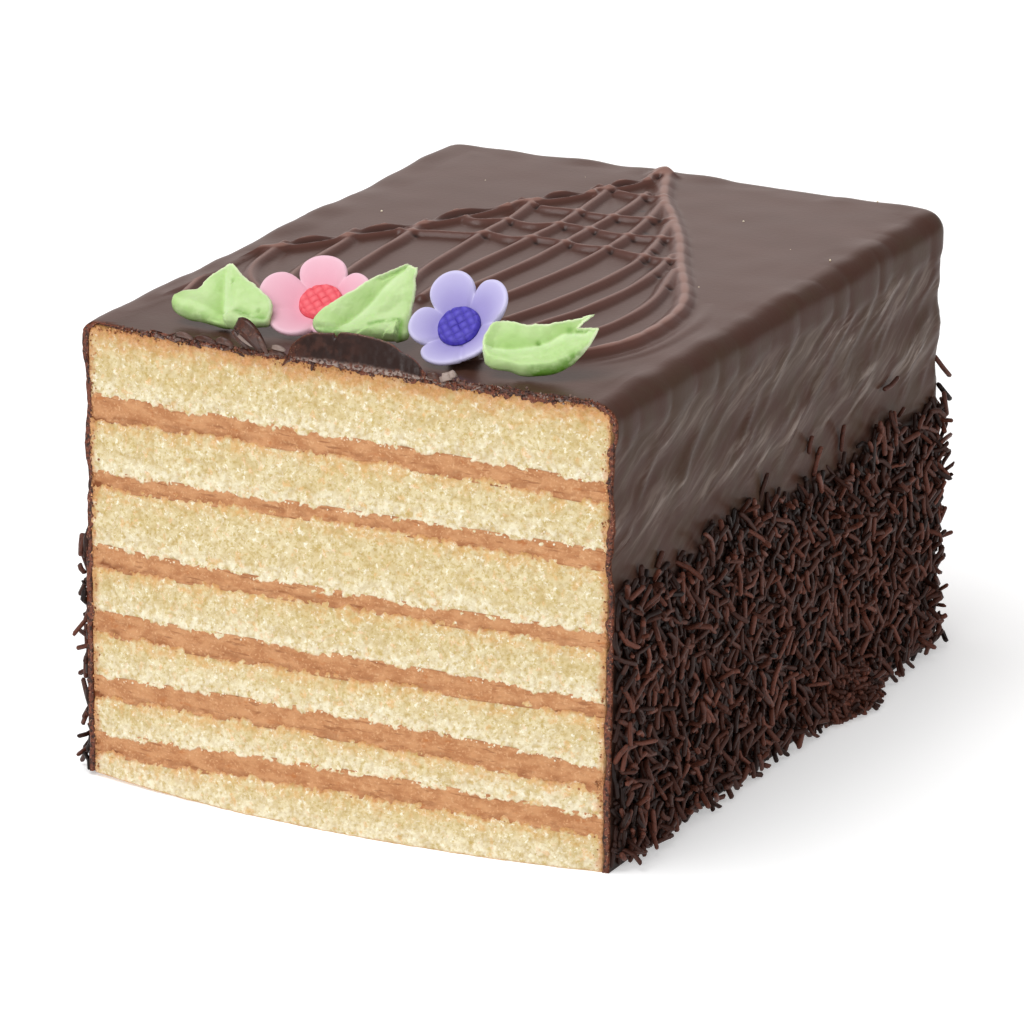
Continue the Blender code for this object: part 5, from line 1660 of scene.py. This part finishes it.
def make_crumbs(material):
    """Brown crumbs along the edges of the cut, pale ones on the sponge, and a few specks on the top."""
    draw = np.random.default_rng(CRUMB_SEED)
    count = CRUMB_COUNT
    z = draw.uniform(1.0, 96.0, count) * MM
    side = np.where(np.arange(count) % 2 == 0, -1.0, 1.0)
    in_from_side = np.abs(draw.normal(0.0, 0.8, count)) * MM
    on_sides = on_cut(side * (WIDTH / 2 - LAYER_INSET - in_from_side), z)
    x = draw.uniform(-58.0, 58.0, count) * MM
    z = (97.3 - np.abs(draw.normal(0.0, 0.55, count))) * MM
    brown = np.concatenate((on_sides, on_cut(x, z)))
    sizes = draw.uniform(0.10, 0.32, len(brown)) * MM
    tones = draw.beta(1.5, 1.0, len(brown))
    scatter_crumbs("crumbs_brown", brown, sizes, draw, material, "sponge", tone=tones)
    pale = []
    for number in range(len(FILLINGS)):
        x = draw.uniform(-56.0, 57.0, PALE_CRUMBS) * MM
        z = filling_faces(number, x, FRONT)[1] + draw.gamma(1.6, 0.7, len(x)) * MM
        pale.append(on_cut(x, z))
    pale.append(settle([(x * MM, y * MM, HEIGHT) for x, y in TOP_SPECKS]))
    pale = np.concatenate(pale)
    sizes = draw.uniform(0.12, 0.30, len(pale)) * MM
    values = {"tone": np.ones(len(pale)), "cream": draw.uniform(0.6, 1.0, len(pale))}
    scatter_crumbs("crumbs_pale", pale, sizes, draw, material, "sponge", **values)


# Studio


def make_camera():
    data = bpy.data.cameras.new("camera")
    data.lens = CAMERA_LENS
    data.sensor_width = CAMERA_SENSOR
    data.clip_start = 0.01
    turn = Matrix.Rotation(math.radians(CAMERA_AZIMUTH), 4, "Z")
    tip = Matrix.Rotation(math.radians(90.0 - CAMERA_ELEVATION), 4, "X")
    roll = Matrix.Rotation(math.radians(CAMERA_ROLL), 4, "Z")
    back = Matrix.Translation((0.0, 0.0, CAMERA_DISTANCE))
    camera = add_object("camera", data)
    camera.matrix_world = Matrix.Translation(CAMERA_TARGET) @ turn @ tip @ roll @ back
    bpy.context.scene.camera = camera


def area_light(name, place, size, power, colour):
    """A rectangular light of this width and height that faces the middle of the cake."""
    data = bpy.data.lights.new(name, "AREA")
    data.color = colour
    data.shape = "RECTANGLE"
    data.size, data.size_y = size
    data.energy = power
    lamp = add_object(name, data)
    lamp.location = place
    lamp.rotation_euler = (LIGHT_TARGET - Vector(place)).to_track_quat("-Z", "Y").to_euler()


def make_studio():
    world = bpy.data.worlds.new("studio")
    world.use_nodes = True
    background = world.node_tree.nodes["Background"]
    background.inputs["Color"].default_value = WHITE
    background.inputs["Strength"].default_value = WORLD_STRENGTH
    bpy.context.scene.world = world
    for name, place, size, power, colour in LIGHTS:
        area_light(name, place, size, power, colour)
    mesh = bpy.data.meshes.new("floor")
    corners = [(x * FLOOR_REACH, y * FLOOR_REACH, 0.0) for x, y in ((-1, -1), (1, -1), (1, 1), (-1, 1))]
    mesh.from_pydata(corners, [], [(0, 1, 2, 3)])
    paint = Painter("floor", 0.6, 0.2)
    paint.shader.inputs["Base Color"].default_value = FLOOR_COLOUR
    paint.shader.inputs["Emission Color"].default_value = WHITE
    paint.shader.inputs["Emission Strength"].default_value = FLOOR_GLOW
    mesh.materials.append(paint.material)
    floor = add_object("floor", mesh)
    bpy.context.scene.view_settings.view_transform = "Standard"


def main():
    materials = {
        "sponge": sponge_material(),
        "filling": filling_material(),
        "glaze": glaze_material(),
        "sprinkle": sprinkle_material(),
        "crumb": crumb_material(),
        "petal_pink": sugar_material(
            "pink_sugar", rgb(229, 170, 186), rgb(234, 194, 207), rgb(224, 158, 178)
        ),
        "button_pink": button_material("red_sugar", rgb(238, 104, 114), rgb(216, 66, 80)),
        "petal_purple": sugar_material(
            "lilac_sugar", rgb(162, 153, 206), rgb(206, 201, 232), rgb(150, 140, 196)
        ),
        "button_purple": button_material("blue_sugar", rgb(82, 70, 184), rgb(50, 38, 142)),
        "leaf": leaf_material(),
    }
    make_camera()
    make_studio()
    make_layers(materials)
    make_glaze(materials["glaze"])
    make_lip(materials["glaze"])
    make_chips(materials["glaze"])
    make_grains(materials["glaze"])
    make_dabs(materials["glaze"])
    make_sprinkles(materials["sprinkle"])
    make_decorations(materials)
    make_crumbs(materials["crumb"])


main()
